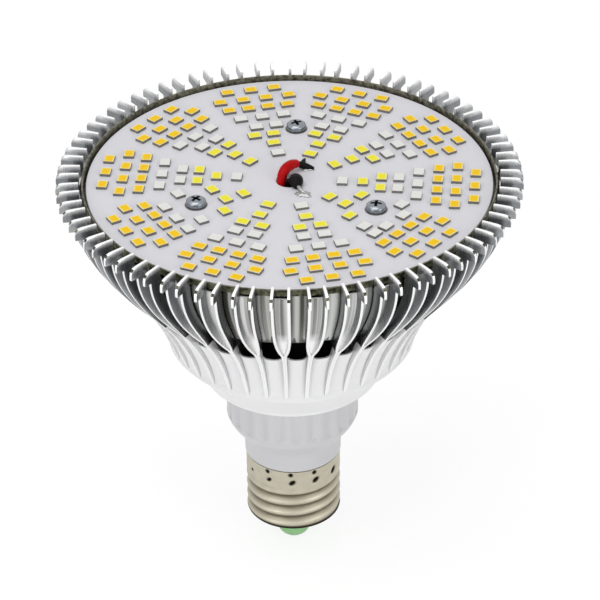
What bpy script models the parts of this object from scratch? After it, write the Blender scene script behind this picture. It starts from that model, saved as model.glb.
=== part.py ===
"""LED grow lamp: 200 LEDs on a round board, a ring of folded cooling fins, a white body and a screw cap.

It stands on its centre contact with the LEDs facing up, and its axis is +Z.
"""

import math

import bmesh
import bpy
from mathutils import Matrix, Vector

MM = 0.001
CLEARANCE = 0.3 * MM

# Screw cap, from the contact upwards
CONTACT_RADIUS = 3.0 * MM
CONTACT_HEAD = 0.6 * MM
CONTACT_STEM_RADIUS = 1.1 * MM
INSULATOR_TIP_RADIUS = 4.45 * MM
INSULATOR_PROUD = 9.0 * MM
INSULATOR_FLANGE = 1.0 * MM
SHELL_RADIUS = 13.05 * MM
SHELL_LENGTH = 19.9 * MM
SHELL_SHEET = 0.4 * MM
SHELL_COLLAR = 5.75 * MM
SHELL_LIP = 1.4 * MM
THREAD_PITCH = 3.63 * MM
THREAD_DEPTH = 0.95 * MM
THREAD_TURNS = 3
SHELL_SIDES = 28

# White base housing
NECK_RADIUS = 13.3 * MM
NECK_LENGTH = 4.8 * MM
NECK_WALL = 2.5 * MM
SPIGOT_LENGTH = 4.7 * MM
COLLAR_RADIUS = 18.1 * MM
COLLAR_LENGTH = 13.7 * MM
COLLAR_STEP = 8.0 * MM
COLLAR_WALL = 3.3 * MM
COLLAR_RIBS = 72
COLLAR_RIB_DEPTH = 0.35 * MM
COLLAR_EDGE = 0.8 * MM
JOINT_RADIUS = 16.3 * MM
JOINT_LENGTH = 5.0 * MM

# White lower shell
RIM_RADIUS = 33.4 * MM
RIM_HEIGHT = 0.9 * MM
CONE_HEIGHT = 11.6 * MM
CONE_FOOT_RADIUS = 24.0 * MM
CONE_FLOOR = 2.4 * MM
SKIRT_HEIGHT = 18.2 * MM
SKIRT_WALL = 1.8 * MM
SKIRT_INSET = 0.6 * MM
SLOT_SPREAD = 0.75 * MM
POST_RADIUS = 3.6 * MM
POST_INSET = 6.4 * MM

# Fin ring
PAIRS = 40
FIRST_PAIR_DEGREES = -92.6
FIN_SHEET = 0.7 * MM
FIN_SPREAD_DEGREES = 2.05
FIN_BAND_RADIUS = 61.4 * MM
FIN_BAND_HEIGHT = 3.2 * MM
FIN_ABOVE_RIM = 1.1 * MM
FIN_STEP = 2.4 * MM
FIN_WAIST_RADIUS = 45.4 * MM
FIN_WAIST_BELOW_CUP = 3.8 * MM
FIN_STEP_HEIGHT = 0.3 * MM
FIN_TOP_SLOPE = 0.05
FIN_WAIST_SLOPE = 0.86
FIN_FOOT_SLOPE = 0.33
FIN_CLOSING_HEIGHT = 11.9 * MM
FIN_DEPTH_TOP = 4.3 * MM
FIN_DEPTH_WAIST = 3.2 * MM
FIN_DEPTH_FOOT = 1.2 * MM

# Heat sink cup and LED board
CUP_RIM_WALL = 0.9 * MM
CUP_WALL = 1.5 * MM
CUP_HEIGHT = 22.5 * MM
CUP_PLATE = 2.5 * MM
CUP_PLATE_DEPTH = 4.25 * MM
AIR_GAP = 7.6 * MM
BOARD_THICKNESS = 1.6 * MM
PAD_THICKNESS = 0.5 * MM
WIRE_HOLE_RADIUS = 3.5 * MM
LED_LENGTH = 3.5 * MM
LED_WIDTH = 2.8 * MM
LED_HEIGHT = 0.75 * MM
LED_SECTORS = 10
FIRST_SECTOR_DEGREES = 30.3

# Screws that hold the board and the cup down on the lower shell's posts
FIRST_SCREW_DEGREES = 85.7
SCREW_COUNT = 3
SCREW_RADIUS = 1.4 * MM
SCREW_HEAD_RADIUS = 2.6 * MM
SCREW_HEAD_HEIGHT = 1.8 * MM
SCREW_REACH = 8.0 * MM

# Driver inside the body
DRIVER_THICKNESS = 1.6 * MM
DRIVER_LENGTH = 57.0 * MM
DRIVER_DROP = 10.0 * MM
CAN_RADIUS = 5.0 * MM
CAN_LENGTH = 20.0 * MM
SPOOL_RADIUS = 5.0 * MM
SPOOL_HEIGHT = 8.0 * MM
FILM_SIZE = (12.0 * MM, 5.0 * MM, 11.0 * MM)
BRIDGE_SIZE = (8.0 * MM, 3.0 * MM, 8.0 * MM)
RED_LEAD_RADIUS = 1.0 * MM
BLACK_LEAD_RADIUS = 1.2 * MM
SUPPLY_LEAD_RADIUS = 0.6 * MM

# Heights of the stack
Z_INSULATOR = CONTACT_HEAD + CLEARANCE
Z_SHELL = Z_INSULATOR + INSULATOR_PROUD
Z_NECK = Z_SHELL + SHELL_LENGTH
Z_STEP = Z_NECK + NECK_LENGTH
Z_COLLAR = Z_STEP + COLLAR_STEP
Z_JOINT = Z_COLLAR + COLLAR_LENGTH
Z_CONE = Z_JOINT + CLEARANCE
Z_RIM = Z_CONE + CONE_HEIGHT
Z_FIN_FOOT = Z_RIM + RIM_HEIGHT
Z_SKIRT_TOP = Z_FIN_FOOT + SKIRT_HEIGHT
Z_CUP_FOOT = Z_SKIRT_TOP + AIR_GAP
Z_FIN_WAIST = Z_CUP_FOOT - FIN_WAIST_BELOW_CUP
Z_CUP_RIM = Z_CUP_FOOT + CUP_HEIGHT
Z_PLATE_TOP = Z_CUP_RIM - CUP_PLATE_DEPTH
Z_PAD = Z_PLATE_TOP + CLEARANCE
Z_BOARD = Z_PAD + PAD_THICKNESS + CLEARANCE
Z_BOARD_TOP = Z_BOARD + BOARD_THICKNESS
Z_FIN_TOP = Z_CUP_RIM + FIN_ABOVE_RIM
Z_FIN_BAND = Z_FIN_TOP - FIN_BAND_HEIGHT
Z_FIN_STEP = Z_FIN_BAND - FIN_STEP_HEIGHT
FIN_UPPER_HEIGHT = Z_FIN_STEP - Z_FIN_WAIST
FIN_LOWER_HEIGHT = Z_FIN_WAIST - Z_FIN_FOOT
FIN_SHOULDER_RADIUS = FIN_BAND_RADIUS - FIN_STEP
CUP_RIM_RADIUS = FIN_SHOULDER_RADIUS - FIN_DEPTH_TOP
BOARD_RADIUS = CUP_RIM_RADIUS - CUP_RIM_WALL - CLEARANCE
NECK_BORE = NECK_RADIUS - NECK_WALL
FIN_FOOT_RADIUS = RIM_RADIUS
SCREW_CIRCLE = RIM_RADIUS - POST_INSET

# The layout of the LEDs is a drawing of the board, in units of which the board's radius has 53.5.
# Rows of LEDs in one sector: distance from the centre, count, pitch
LAYOUT_UNITS = 53.5
LED_ROWS = (
    (48.7, 3, 6.57),
    (43.8, 4, 6.40),
    (38.9, 4, 5.40),
    (33.7, 3, 5.93),
    (28.6, 2, 5.48),
    (24.1, 2, 5.48),
    (19.3, 1, 0.0),
    (13.9, 1, 0.0),
)
# Rows that make room for a screw: sector, row, then distance and offset of each LED
LED_MOVED = {
    (2, 5): ((24.1, -1.0), (24.1, 4.2)),
    (5, 3): ((34.7, -4.9), (34.7, 1.5), (34.7, 7.6)),
    (5, 4): ((28.6, -8.8), (29.6, 5.5)),
    (5, 5): ((19.9, -6.0), (22.4, 4.9)),
    (8, 3): ((34.3, -6.1), (34.3, -1.6), (34.3, 5.4)),
    (8, 4): ((30.1, -5.2), (30.7, 9.1)),
    (8, 5): ((23.9, -3.7), (19.7, 6.0)),
}

# Places on the board of the soldered lead ends
RED_SOLDER = Vector((4.9 * MM, 5.4 * MM, 0))
BLACK_SOLDER = Vector((3.6 * MM, -7.4 * MM, 0))
SOLDER_RADIUS = 1.9 * MM
SOLDER_HEIGHT = 1.0 * MM


def clear_scene():
    for obj in list(bpy.data.objects):
        bpy.data.objects.remove(obj, do_unlink=True)


def finish(name, colour, roughness, metallic=0.0):
    """A Principled BSDF material, made once."""
    material = bpy.data.materials.new(name)
    material.use_nodes = True
    shader = material.node_tree.nodes["Principled BSDF"]
    shader.inputs["Base Color"].default_value = (*colour, 1)
    shader.inputs["Roughness"].default_value = roughness
    shader.inputs["Metallic"].default_value = metallic
    return material


def add_object(name, mesh, material, smooth_degrees=35):
    """Puts a mesh in the scene under its own name, smooth but for its sharp edges."""
    obj = bpy.data.objects.new(name, mesh)
    bpy.context.scene.collection.objects.link(obj)
    if material and not mesh.materials:
        mesh.materials.append(material)
    mesh.shade_smooth()
    mesh.set_sharp_from_angle(angle=math.radians(smooth_degrees))
    return obj


def mesh_from(name, build):
    """A mesh from a function that fills a bmesh."""
    shape = bmesh.new()
    build(shape)
    bmesh.ops.recalc_face_normals(shape, faces=shape.faces)
    mesh = bpy.data.meshes.new(name)
    shape.to_mesh(mesh)
    shape.free()
    return mesh


def turned(shape, profile, sides, first_degrees=0.0, closed=True):
    """Turns a list of (radius, height) points about Z. A closed profile makes a ring with a bore."""
    columns = []
    for side in range(sides):
        angle = math.radians(first_degrees) + 2 * math.pi * side / sides
        columns.append([shape.verts.new((r * math.cos(angle), r * math.sin(angle), z)) for r, z in profile])
    steps = len(profile) if closed else len(profile) - 1
    for side in range(sides):
        here, there = columns[side], columns[(side + 1) % sides]
        for step in range(steps):
            after = (step + 1) % len(profile)
            shape.faces.new((here[step], there[step], there[after], here[after]))
    if not closed:
        shape.faces.new([column[0] for column in columns])
        shape.faces.new([column[-1] for column in reversed(columns)])


def lofted(shape, sections):
    """Joins closed sections of equal count, and caps both ends."""
    rings = [[shape.verts.new(point) for point in section] for section in sections]
    for lower, upper in zip(rings, rings[1:]):
        for index in range(len(lower)):
            after = (index + 1) % len(lower)
            shape.faces.new((lower[index], lower[after], upper[after], upper[index]))
    shape.faces.new(rings[0])
    shape.faces.new(list(reversed(rings[-1])))


def box(shape, low, high, turn=None):
    """An upright box, turned by a matrix if one is given."""
    corners = [(x, y, z) for z in (low[2], high[2]) for x, y in
               ((low[0], low[1]), (high[0], low[1]), (high[0], high[1]), (low[0], high[1]))]
    points = [Vector(corner) for corner in corners]
    if turn:
        points = [turn @ point for point in points]
    verts = [shape.verts.new(point) for point in points]
    for face in ((3, 2, 1, 0), (4, 5, 6, 7), (0, 1, 5, 4), (1, 2, 6, 5), (2, 3, 7, 6), (3, 0, 4, 7)):
        shape.faces.new([verts[index] for index in face])


def cylinder(shape, centre, radius, low, high, sides=12):
    rings = []
    for z in (low, high):
        ring = []
        for side in range(sides):
            angle = 2 * math.pi * (side + 0.5) / sides
            ring.append((centre[0] + radius * math.cos(angle), centre[1] + radius * math.sin(angle), z))
        rings.append(ring)
    lofted(shape, rings)


def combine(obj, operation, name, build):
    """A Boolean with a helper shape that never renders."""
    helper = bpy.data.objects.new(name, mesh_from(name, build))
    bpy.context.scene.collection.objects.link(helper)
    helper.hide_render = True
    helper.display_type = "WIRE"
    modifier = obj.modifiers.new(name, "BOOLEAN")
    modifier.operation = operation
    modifier.object = helper


def screw_places():
    """Centre of each board screw."""
    for index in range(SCREW_COUNT):
        angle = math.radians(FIRST_SCREW_DEGREES) + 2 * math.pi * index / SCREW_COUNT
        yield SCREW_CIRCLE * math.cos(angle), SCREW_CIRCLE * math.sin(angle)


def screw_holes(radius, low, high):
    def build(shape):
        for place in screw_places():
            cylinder(shape, place, radius, low, high)
    return build


def eased(share, start, end, start_slope, end_slope, height):
    """A cubic from one radius to another over a height, with the slope given at both ends."""
    s = share
    keep = 1 - 3 * s * s + 2 * s ** 3
    turn_in = s * (1 - s) ** 2
    turn_out = s * s * (s - 1)
    return keep * start + (1 - keep) * end + height * (turn_in * start_slope + turn_out * end_slope)


def fin_edge(z):
    """Radius of the fins' outer edge, a bowl above the waist and a flare below it."""
    if z >= Z_FIN_WAIST:
        share = (Z_FIN_STEP - z) / FIN_UPPER_HEIGHT
        ends, slopes = (FIN_SHOULDER_RADIUS, FIN_WAIST_RADIUS), (-FIN_TOP_SLOPE, -FIN_WAIST_SLOPE)
        return eased(share, *ends, *slopes, FIN_UPPER_HEIGHT)
    share = (Z_FIN_WAIST - z) / FIN_LOWER_HEIGHT
    ends, slopes = (FIN_WAIST_RADIUS, FIN_FOOT_RADIUS), (-FIN_WAIST_SLOPE, -FIN_FOOT_SLOPE)
    return eased(share, *ends, *slopes, FIN_LOWER_HEIGHT)


def cup_edge(z):
    """Outer radius of the cup's wall, which runs inside the fins' edge."""
    share = (Z_FIN_STEP - z) / (Z_FIN_STEP - Z_FIN_WAIST)
    return fin_edge(z) - FIN_DEPTH_TOP + (FIN_DEPTH_TOP - FIN_DEPTH_WAIST) * share


def leg_depth(z):
    """Radial depth of the closed leg below the waist."""
    share = (Z_FIN_WAIST - z) / FIN_LOWER_HEIGHT
    return FIN_DEPTH_WAIST + (FIN_DEPTH_FOOT - FIN_DEPTH_WAIST) * share


def fin_inner(z):
    """Radius of the web that lies on the cup, and of the leg's back below the waist."""
    if z >= Z_FIN_STEP:
        return CUP_RIM_RADIUS + CLEARANCE
    if z >= Z_FIN_WAIST:
        return cup_edge(z) + CLEARANCE
    return fin_edge(z) - leg_depth(z) + CLEARANCE


def fin_spread(z):
    """Half angle between the two fins of a pair, which close along a quarter of an ellipse."""
    below = Z_FIN_WAIST + FIN_CLOSING_HEIGHT - z
    share = min(max(below / FIN_CLOSING_HEIGHT, 0.0), 1.0)
    return math.radians(FIN_SPREAD_DEGREES) * math.sqrt(1 - share * share)


def fin_section(z, outer, pocket):
    """Eight points of the folded sheet, a U open to the outside.

    The pocket is how far the U is open, 0 to 1.
    """
    half = FIN_SHEET / 2
    inner = fin_inner(z)
    spread = fin_spread(z)
    outer_half = max(outer * math.sin(spread), half + 0.1 * MM)
    inner_half = max(inner * math.sin(spread), half + 0.1 * MM)
    floor = outer + (inner + FIN_SHEET - outer) * pocket
    floor_half = outer_half + (inner_half - outer_half) * pocket
    right = [(inner, inner_half + half), (outer, outer_half + half)]
    right += [(outer, outer_half - half), (floor, floor_half - half)]
    left = [(x, -y) for x, y in reversed(right)]
    return [Vector((x, y, z)) for x, y in right + left]


def fin_pair(shape):
    """One sheet folded into two fins that meet in a single leg."""
    stations = [(Z_FIN_TOP, FIN_BAND_RADIUS), (Z_FIN_BAND, FIN_BAND_RADIUS)]
    stations += [(Z_FIN_STEP, FIN_SHOULDER_RADIUS)]
    open_height = Z_FIN_STEP - Z_FIN_WAIST
    for share in (0.34, 0.64, 0.86):
        z = Z_FIN_STEP - open_height * share
        stations.append((z, fin_edge(z)))
    rings = [fin_section(z, outer, 1.0) for z, outer in stations]
    verts = [[shape.verts.new(point) for point in ring] for ring in rings]
    for upper, lower in zip(verts, verts[1:]):
        for index in range(8):
            after = (index + 1) % 8
            shape.faces.new((upper[index], upper[after], lower[after], lower[index]))
    shape.faces.new(verts[0])
    # The U closes at the waist: its two fins meet, and its floor comes out to their edge.
    waist = fin_section(Z_FIN_WAIST, FIN_WAIST_RADIUS, 0.0)
    closed = [shape.verts.new(waist[index]) for index in (0, 1, 2, 5, 6, 7)]
    back_right, edge_right, lip_right, lip_left, edge_left, back_left = closed
    last = verts[-1]
    shape.faces.new((last[0], last[1], edge_right, back_right))
    shape.faces.new((last[1], last[2], lip_right, edge_right))
    shape.faces.new((last[2], last[3], lip_right))
    shape.faces.new((last[3], last[4], lip_left, lip_right))
    shape.faces.new((last[4], last[5], lip_left))
    shape.faces.new((last[5], last[6], edge_left, lip_left))
    shape.faces.new((last[6], last[7], back_left, edge_left))
    shape.faces.new((last[7], last[0], back_right, back_left))
    legs = []
    for share in (0.45, 1.0):
        z = Z_FIN_WAIST - FIN_LOWER_HEIGHT * share
        outer, inner, half = fin_edge(z), fin_inner(z), FIN_SHEET + 0.1 * MM
        legs.append([shape.verts.new((x, y, z)) for x, y in
                     ((inner, half), (outer, half), (outer, -half), (inner, -half))])
    top = legs[0]
    shape.faces.new((back_right, edge_right, top[1], top[0]))
    shape.faces.new((edge_right, lip_right, lip_left, edge_left, top[2], top[1]))
    shape.faces.new((edge_left, back_left, top[3], top[2]))
    shape.faces.new((back_left, back_right, top[0], top[3]))
    for upper, lower in zip(legs, legs[1:]):
        for index in range(4):
            after = (index + 1) % 4
            shape.faces.new((upper[index], upper[after], lower[after], lower[index]))
    shape.faces.new(legs[-1])


def pair_degrees(index):
    return FIRST_PAIR_DEGREES + 360 / PAIRS * index


def make_fins(material):
    mesh = mesh_from("fin_pair", fin_pair)
    for index in range(PAIRS):
        fin = add_object(f"fin_pair_{index + 1:02d}", mesh, material)
        fin.rotation_euler.z = math.radians(pair_degrees(index))


def make_cup(material):
    """Bowl with a raised rim and the plate that the LED board is screwed to."""
    under = Z_PLATE_TOP - CUP_PLATE
    levels = [Z_FIN_STEP - (Z_FIN_STEP - Z_CUP_FOOT) * share for share in (0, 0.25, 0.5, 0.75, 1)]
    outside = [(CUP_RIM_RADIUS, Z_CUP_RIM)] + [(cup_edge(z), z) for z in levels]
    inside = [(cup_edge(z) - CUP_WALL, z) for z in reversed(levels) if z < under - CUP_WALL]
    floor = [(cup_edge(under) - CUP_WALL, under), (WIRE_HOLE_RADIUS, under)]
    floor += [(WIRE_HOLE_RADIUS, Z_PLATE_TOP)]
    rim = CUP_RIM_RADIUS - CUP_RIM_WALL
    profile = outside + inside + floor + [(rim, Z_PLATE_TOP), (rim, Z_CUP_RIM)]
    half_side = 180 / PAIRS
    mesh = mesh_from("cup", lambda shape: turned(shape, profile, PAIRS, pair_degrees(0) + half_side))
    cup = add_object("heat_sink_cup", mesh, material)
    bore = SCREW_RADIUS + CLEARANCE
    combine(cup, "DIFFERENCE", "cup_screw_holes", screw_holes(bore, under - MM, Z_PLATE_TOP + MM))


def clear_of_screws(place):
    """Whether an LED at this place keeps clear of the screw heads."""
    keep = SCREW_HEAD_RADIUS + CLEARANCE + math.hypot(LED_LENGTH, LED_WIDTH) / 2
    return all((place.xy - Vector(screw)).length > keep for screw in screw_places())


def led_places():
    """Centre and turn of each LED, sector by sector. The pattern leaves out what a screw would cover."""
    scale = BOARD_RADIUS / LAYOUT_UNITS
    for sector in range(LED_SECTORS):
        turn = math.radians(FIRST_SECTOR_DEGREES) + 2 * math.pi * sector / LED_SECTORS
        for row, (distance, count, pitch) in enumerate(LED_ROWS):
            spots = [(distance, (index - (count - 1) / 2) * pitch) for index in range(count)]
            for away, aside in LED_MOVED.get((sector, row), spots):
                place = Matrix.Rotation(turn, 4, "Z") @ Vector((away, aside, 0)) * scale
                if clear_of_screws(place):
                    yield place, turn


def led_packages(shape):
    sunk = 0.05 * MM
    for place, turn in led_places():
        matrix = Matrix.Translation(place) @ Matrix.Rotation(turn, 4, "Z")
        low = (-LED_WIDTH / 2, -LED_LENGTH / 2, Z_BOARD_TOP - sunk)
        high = (LED_WIDTH / 2, LED_LENGTH / 2, Z_BOARD_TOP + LED_HEIGHT)
        box(shape, low, high, matrix)


def solder_mounds(shape):
    sunk = 0.1 * MM
    for centre in (RED_SOLDER, BLACK_SOLDER):
        rings = []
        for radius, height in ((1.0, -sunk), (1.0, 0.0), (0.75, 0.6 * SOLDER_HEIGHT), (0.3, SOLDER_HEIGHT)):
            ring = []
            for side in range(10):
                angle = 2 * math.pi * side / 10
                offset = SOLDER_RADIUS * radius
                ring.append((centre.x + offset * math.cos(angle), centre.y + offset * math.sin(angle),
                             Z_BOARD_TOP + height))
            rings.append(ring)
        lofted(shape, rings)


def make_board(board_finish, pad_finish):
    """The LED board with its soldered packages, and the pad under it."""
    profile = [(BOARD_RADIUS, Z_BOARD_TOP), (BOARD_RADIUS, Z_BOARD), (WIRE_HOLE_RADIUS, Z_BOARD),
               (WIRE_HOLE_RADIUS, Z_BOARD_TOP)]
    mesh = mesh_from("board", lambda shape: turned(shape, profile, 48))
    board = add_object("led_board", mesh, board_finish)
    bore = SCREW_RADIUS + CLEARANCE
    combine(board, "DIFFERENCE", "board_screw_holes", screw_holes(bore, Z_BOARD - MM, Z_BOARD_TOP + MM))
    combine(board, "UNION", "led_packages", led_packages)
    combine(board, "UNION", "solder_mounds", solder_mounds)
    outer, top = BOARD_RADIUS - 1.5 * MM, Z_PAD + PAD_THICKNESS
    sheet = [(outer, top), (outer, Z_PAD), (WIRE_HOLE_RADIUS, Z_PAD), (WIRE_HOLE_RADIUS, top)]
    pad = add_object("thermal_pad", mesh_from("pad", lambda shape: turned(shape, sheet, 24)), pad_finish)
    combine(pad, "DIFFERENCE", "pad_screw_holes", screw_holes(bore, Z_PAD - MM, top + MM))


def make_screws(material):
    """Pan-head screws with a cross recess."""
    seat = Z_BOARD_TOP + CLEARANCE
    head, height = SCREW_HEAD_RADIUS, SCREW_HEAD_HEIGHT
    tip = Z_PLATE_TOP - CUP_PLATE - SCREW_REACH
    profile = [(0.45 * head, seat + height), (0.8 * head, seat + 0.85 * height), (head, seat + 0.45 * height)]
    profile += [(head, seat), (SCREW_RADIUS, seat), (SCREW_RADIUS, tip), (0.5 * SCREW_RADIUS, tip - 0.8 * MM)]
    mesh = mesh_from("screw", lambda shape: turned(shape, profile, 14, closed=False))
    for index, place in enumerate(screw_places()):
        screw = add_object(f"board_screw_{index + 1}", mesh, material)
        screw.location = (*place, 0)

        def cross(shape):
            reach, half = 0.55 * head, 0.16 * head
            turn = Matrix.Translation((*place, 0)) @ Matrix.Rotation(math.radians(20), 4, "Z")
            outline = [(reach, half), (half, half), (half, reach)]
            plus = [Matrix.Rotation(math.radians(90 * quarter), 4, "Z") @ Vector((x, y, 0))
                    for quarter in range(4) for x, y in outline]
            heights = (seat + 0.5 * height, seat + 2 * height)
            lofted(shape, [[turn @ (point + Vector((0, 0, z))) for point in plus] for z in heights])
        combine(screw, "DIFFERENCE", f"recess_{index + 1}", cross)


def skirt_edge(z):
    """Outer radius of the skirt's panels, just inside the fins' edge."""
    return fin_edge(z) - SKIRT_INSET


def slot_section(z, widening):
    """The wedge-shaped slot round a leg: wide at the skirt's top, closing on the leg at its foot."""
    half = FIN_SHEET + 0.1 * MM + CLEARANCE + SLOT_SPREAD * widening
    back, front = fin_inner(z) - CLEARANCE, fin_edge(z) + 3 * MM
    return [(back, half), (front, half), (front, -half), (back, -half)]


def skirt_slots(shape):
    middle = Z_FIN_WAIST - 0.5 * FIN_LOWER_HEIGHT
    levels = [(Z_SKIRT_TOP + MM, 1.0), (middle, 0.5), (Z_FIN_FOOT - CLEARANCE, 0.0)]
    for index in range(PAIRS):
        turn = Matrix.Rotation(math.radians(pair_degrees(index)), 4, "Z")
        sections = []
        for z, widening in levels:
            section = slot_section(max(z, Z_FIN_FOOT), widening)
            sections.append([turn @ Vector((x, y, z)) for x, y in section])
        lofted(shape, sections)


def skirt_posts(shape):
    """Three posts for the cup's plate and the board's screws. Each foot follows the cone's wall."""
    top = Z_PLATE_TOP - CUP_PLATE - CLEARANCE
    slope = CONE_HEIGHT / (RIM_RADIUS - CONE_FOOT_RADIUS)
    for x, y in screw_places():
        foot, head = [], []
        for side in range(16):
            angle = math.pi * (side + 0.5) / 8
            point = Vector((x, y)) + POST_RADIUS * Vector((math.cos(angle), math.sin(angle)))
            cone = Z_CONE + (point.length - CONE_FOOT_RADIUS) * slope
            foot.append((*point, cone + 0.7 * SKIRT_WALL))
            head.append((*point, top))
        lofted(shape, [foot, head])


def make_lower_shell(material):
    """Skirt, rim and cone in one moulding."""
    levels = [Z_SKIRT_TOP - SKIRT_HEIGHT * share for share in (0, 0.35, 0.7, 1)]
    wall = SKIRT_WALL
    outside = [(skirt_edge(z), z) for z in levels]
    outside += [(RIM_RADIUS, Z_FIN_FOOT - 0.3 * RIM_HEIGHT), (RIM_RADIUS, Z_RIM), (CONE_FOOT_RADIUS, Z_CONE)]
    bore = JOINT_RADIUS + CLEARANCE
    inside = [(bore, Z_CONE), (bore, Z_CONE + CONE_FLOOR), (CONE_FOOT_RADIUS - 0.85 * wall, Z_CONE + CONE_FLOOR)]
    inside += [(RIM_RADIUS - 1.3 * wall, Z_RIM + 0.8 * wall)]
    inside += [(skirt_edge(z) - wall, z) for z in reversed(levels[:-1])]
    half_side = 180 / PAIRS
    profile = outside + inside
    mesh = mesh_from("shell", lambda shape: turned(shape, profile, PAIRS, pair_degrees(0) + half_side))
    shell = add_object("lower_shell", mesh, material)
    combine(shell, "DIFFERENCE", "skirt_slots", skirt_slots)
    combine(shell, "UNION", "skirt_posts", skirt_posts)
    top = Z_PLATE_TOP - CUP_PLATE
    bore = SCREW_RADIUS + CLEARANCE
    combine(shell, "DIFFERENCE", "post_holes", screw_holes(bore, top - SCREW_REACH - 2 * MM, top + MM))


def collar_ribs(shape):
    """Fine upright ribs round the collar."""
    rings = []
    for z in (Z_COLLAR, Z_JOINT - COLLAR_EDGE):
        ring = []
        for side in range(2 * COLLAR_RIBS):
            radius = COLLAR_RADIUS - (side % 2) * COLLAR_RIB_DEPTH
            angle = math.pi * side / COLLAR_RIBS
            ring.append((radius * math.cos(angle), radius * math.sin(angle), z))
        rings.append(ring)
    lofted(shape, rings)


def housing_bore(shape):
    wide = COLLAR_RADIUS - COLLAR_WALL
    top = Z_JOINT + JOINT_LENGTH
    profile = [(wide, top + MM), (wide, Z_COLLAR), (NECK_BORE, Z_STEP + 0.3 * COLLAR_STEP),
               (NECK_BORE, Z_NECK - SPIGOT_LENGTH - MM)]
    turned(shape, profile, 36, closed=False)


def make_base_housing(material):
    """Ribbed collar and neck, with a spigot at each end for the lower shell and the screw shell."""
    under_rib = COLLAR_RADIUS - 1.5 * COLLAR_RIB_DEPTH
    spigot = SHELL_RADIUS - SHELL_SHEET - CLEARANCE
    curve = []
    for share in (0, 0.25, 0.5, 0.75, 1):
        radius = eased(share, COLLAR_RADIUS, NECK_RADIUS, -0.1, -0.1, COLLAR_STEP)
        curve.append((radius, Z_COLLAR - COLLAR_STEP * share))
    shoulder = Z_NECK + CLEARANCE
    profile = [(JOINT_RADIUS, Z_JOINT + JOINT_LENGTH), (JOINT_RADIUS, Z_JOINT)]
    profile += [(COLLAR_RADIUS - COLLAR_RIB_DEPTH, Z_JOINT)]
    profile += [(under_rib, Z_JOINT - COLLAR_EDGE), (under_rib, Z_COLLAR + 0.2 * MM)]
    profile += curve + [(NECK_RADIUS, shoulder), (spigot, shoulder), (spigot, Z_NECK - SPIGOT_LENGTH)]
    mesh = mesh_from("housing", lambda shape: turned(shape, profile, 36, closed=False))
    housing = add_object("base_housing", mesh, material)
    combine(housing, "UNION", "collar_ribs", collar_ribs)
    combine(housing, "DIFFERENCE", "housing_bore", housing_bore)


def shell_column(angle):
    """Radii and heights down the screw shell at one angle.

    The thread's phase follows the angle, as on a screw.
    """
    points = [(SHELL_RADIUS, Z_NECK), (SHELL_RADIUS, Z_NECK - SHELL_COLLAR)]
    levels = 4 * THREAD_TURNS + 1
    for level in range(1, levels):
        phase = 2 * math.pi * level / 4 + angle
        runs_out = min(1.0, (levels - level) / 3, level / 2)
        radius = SHELL_RADIUS - THREAD_DEPTH * runs_out * (1 - math.cos(phase)) / 2
        points.append((radius, Z_NECK - SHELL_COLLAR - THREAD_PITCH * level / 4))
    lip = SHELL_RADIUS - SHELL_LIP
    return points + [(SHELL_RADIUS - 0.35 * SHELL_LIP, Z_SHELL + 0.35 * MM), (lip, Z_SHELL)]


def make_screw_shell(material):
    """Rolled sheet with a rounded helical thread, open at the top and at its lower lip."""
    def build(shape):
        columns = []
        for side in range(SHELL_SIDES):
            angle = 2 * math.pi * side / SHELL_SIDES
            radial = Vector((math.cos(angle), math.sin(angle)))
            columns.append([shape.verts.new((*(radial * r), z)) for r, z in shell_column(angle)])
        for side in range(SHELL_SIDES):
            here, there = columns[side], columns[(side + 1) % SHELL_SIDES]
            for step in range(len(here) - 1):
                shape.faces.new((here[step], here[step + 1], there[step + 1], there[step]))
    shell = add_object("screw_shell", mesh_from("thread", build), material, 50)
    sheet = shell.modifiers.new("sheet", "SOLIDIFY")
    sheet.thickness = SHELL_SHEET
    sheet.offset = -1


def make_insulator(material):
    """Plug in the shell's mouth, stepped down to the small green tip."""
    lip = SHELL_RADIUS - SHELL_LIP - CLEARANCE
    flange = Z_SHELL + SHELL_SHEET + CLEARANCE
    tip = INSULATOR_TIP_RADIUS
    bore = CONTACT_STEM_RADIUS + CLEARANCE
    seat = lip + 2 * CLEARANCE
    profile = [(seat, flange + INSULATOR_FLANGE), (seat, flange + 0.1 * MM), (lip, flange)]
    profile += [(lip, Z_SHELL - 0.6 * MM), (1.3 * tip, Z_SHELL - 0.3 * INSULATOR_PROUD)]
    profile += [(tip, Z_SHELL - 0.45 * INSULATOR_PROUD), (tip, Z_INSULATOR + 1.0 * MM)]
    profile += [(0.85 * tip, Z_INSULATOR + 0.25 * MM), (0.7 * tip, Z_INSULATOR)]
    profile += [(bore, Z_INSULATOR), (bore, flange + INSULATOR_FLANGE)]
    mesh = mesh_from("insulator", lambda shape: turned(shape, profile, 20))
    add_object("cap_insulator", mesh, material)


def contact_top():
    return Z_SHELL + SHELL_SHEET + CLEARANCE + INSULATOR_FLANGE + CLEARANCE


def make_contact(material):
    """Centre contact, a rivet through the insulator."""
    profile = [(CONTACT_STEM_RADIUS, contact_top()), (CONTACT_STEM_RADIUS, CONTACT_HEAD)]
    profile += [(CONTACT_RADIUS, CONTACT_HEAD), (CONTACT_RADIUS, 0.4 * CONTACT_HEAD)]
    profile += [(0.8 * CONTACT_RADIUS, 0)]
    mesh = mesh_from("contact", lambda shape: turned(shape, profile, 20, closed=False))
    add_object("centre_contact", mesh, material)


def driver_foot():
    return Z_NECK - DRIVER_DROP


def driver_top():
    return driver_foot() + DRIVER_LENGTH


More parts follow.
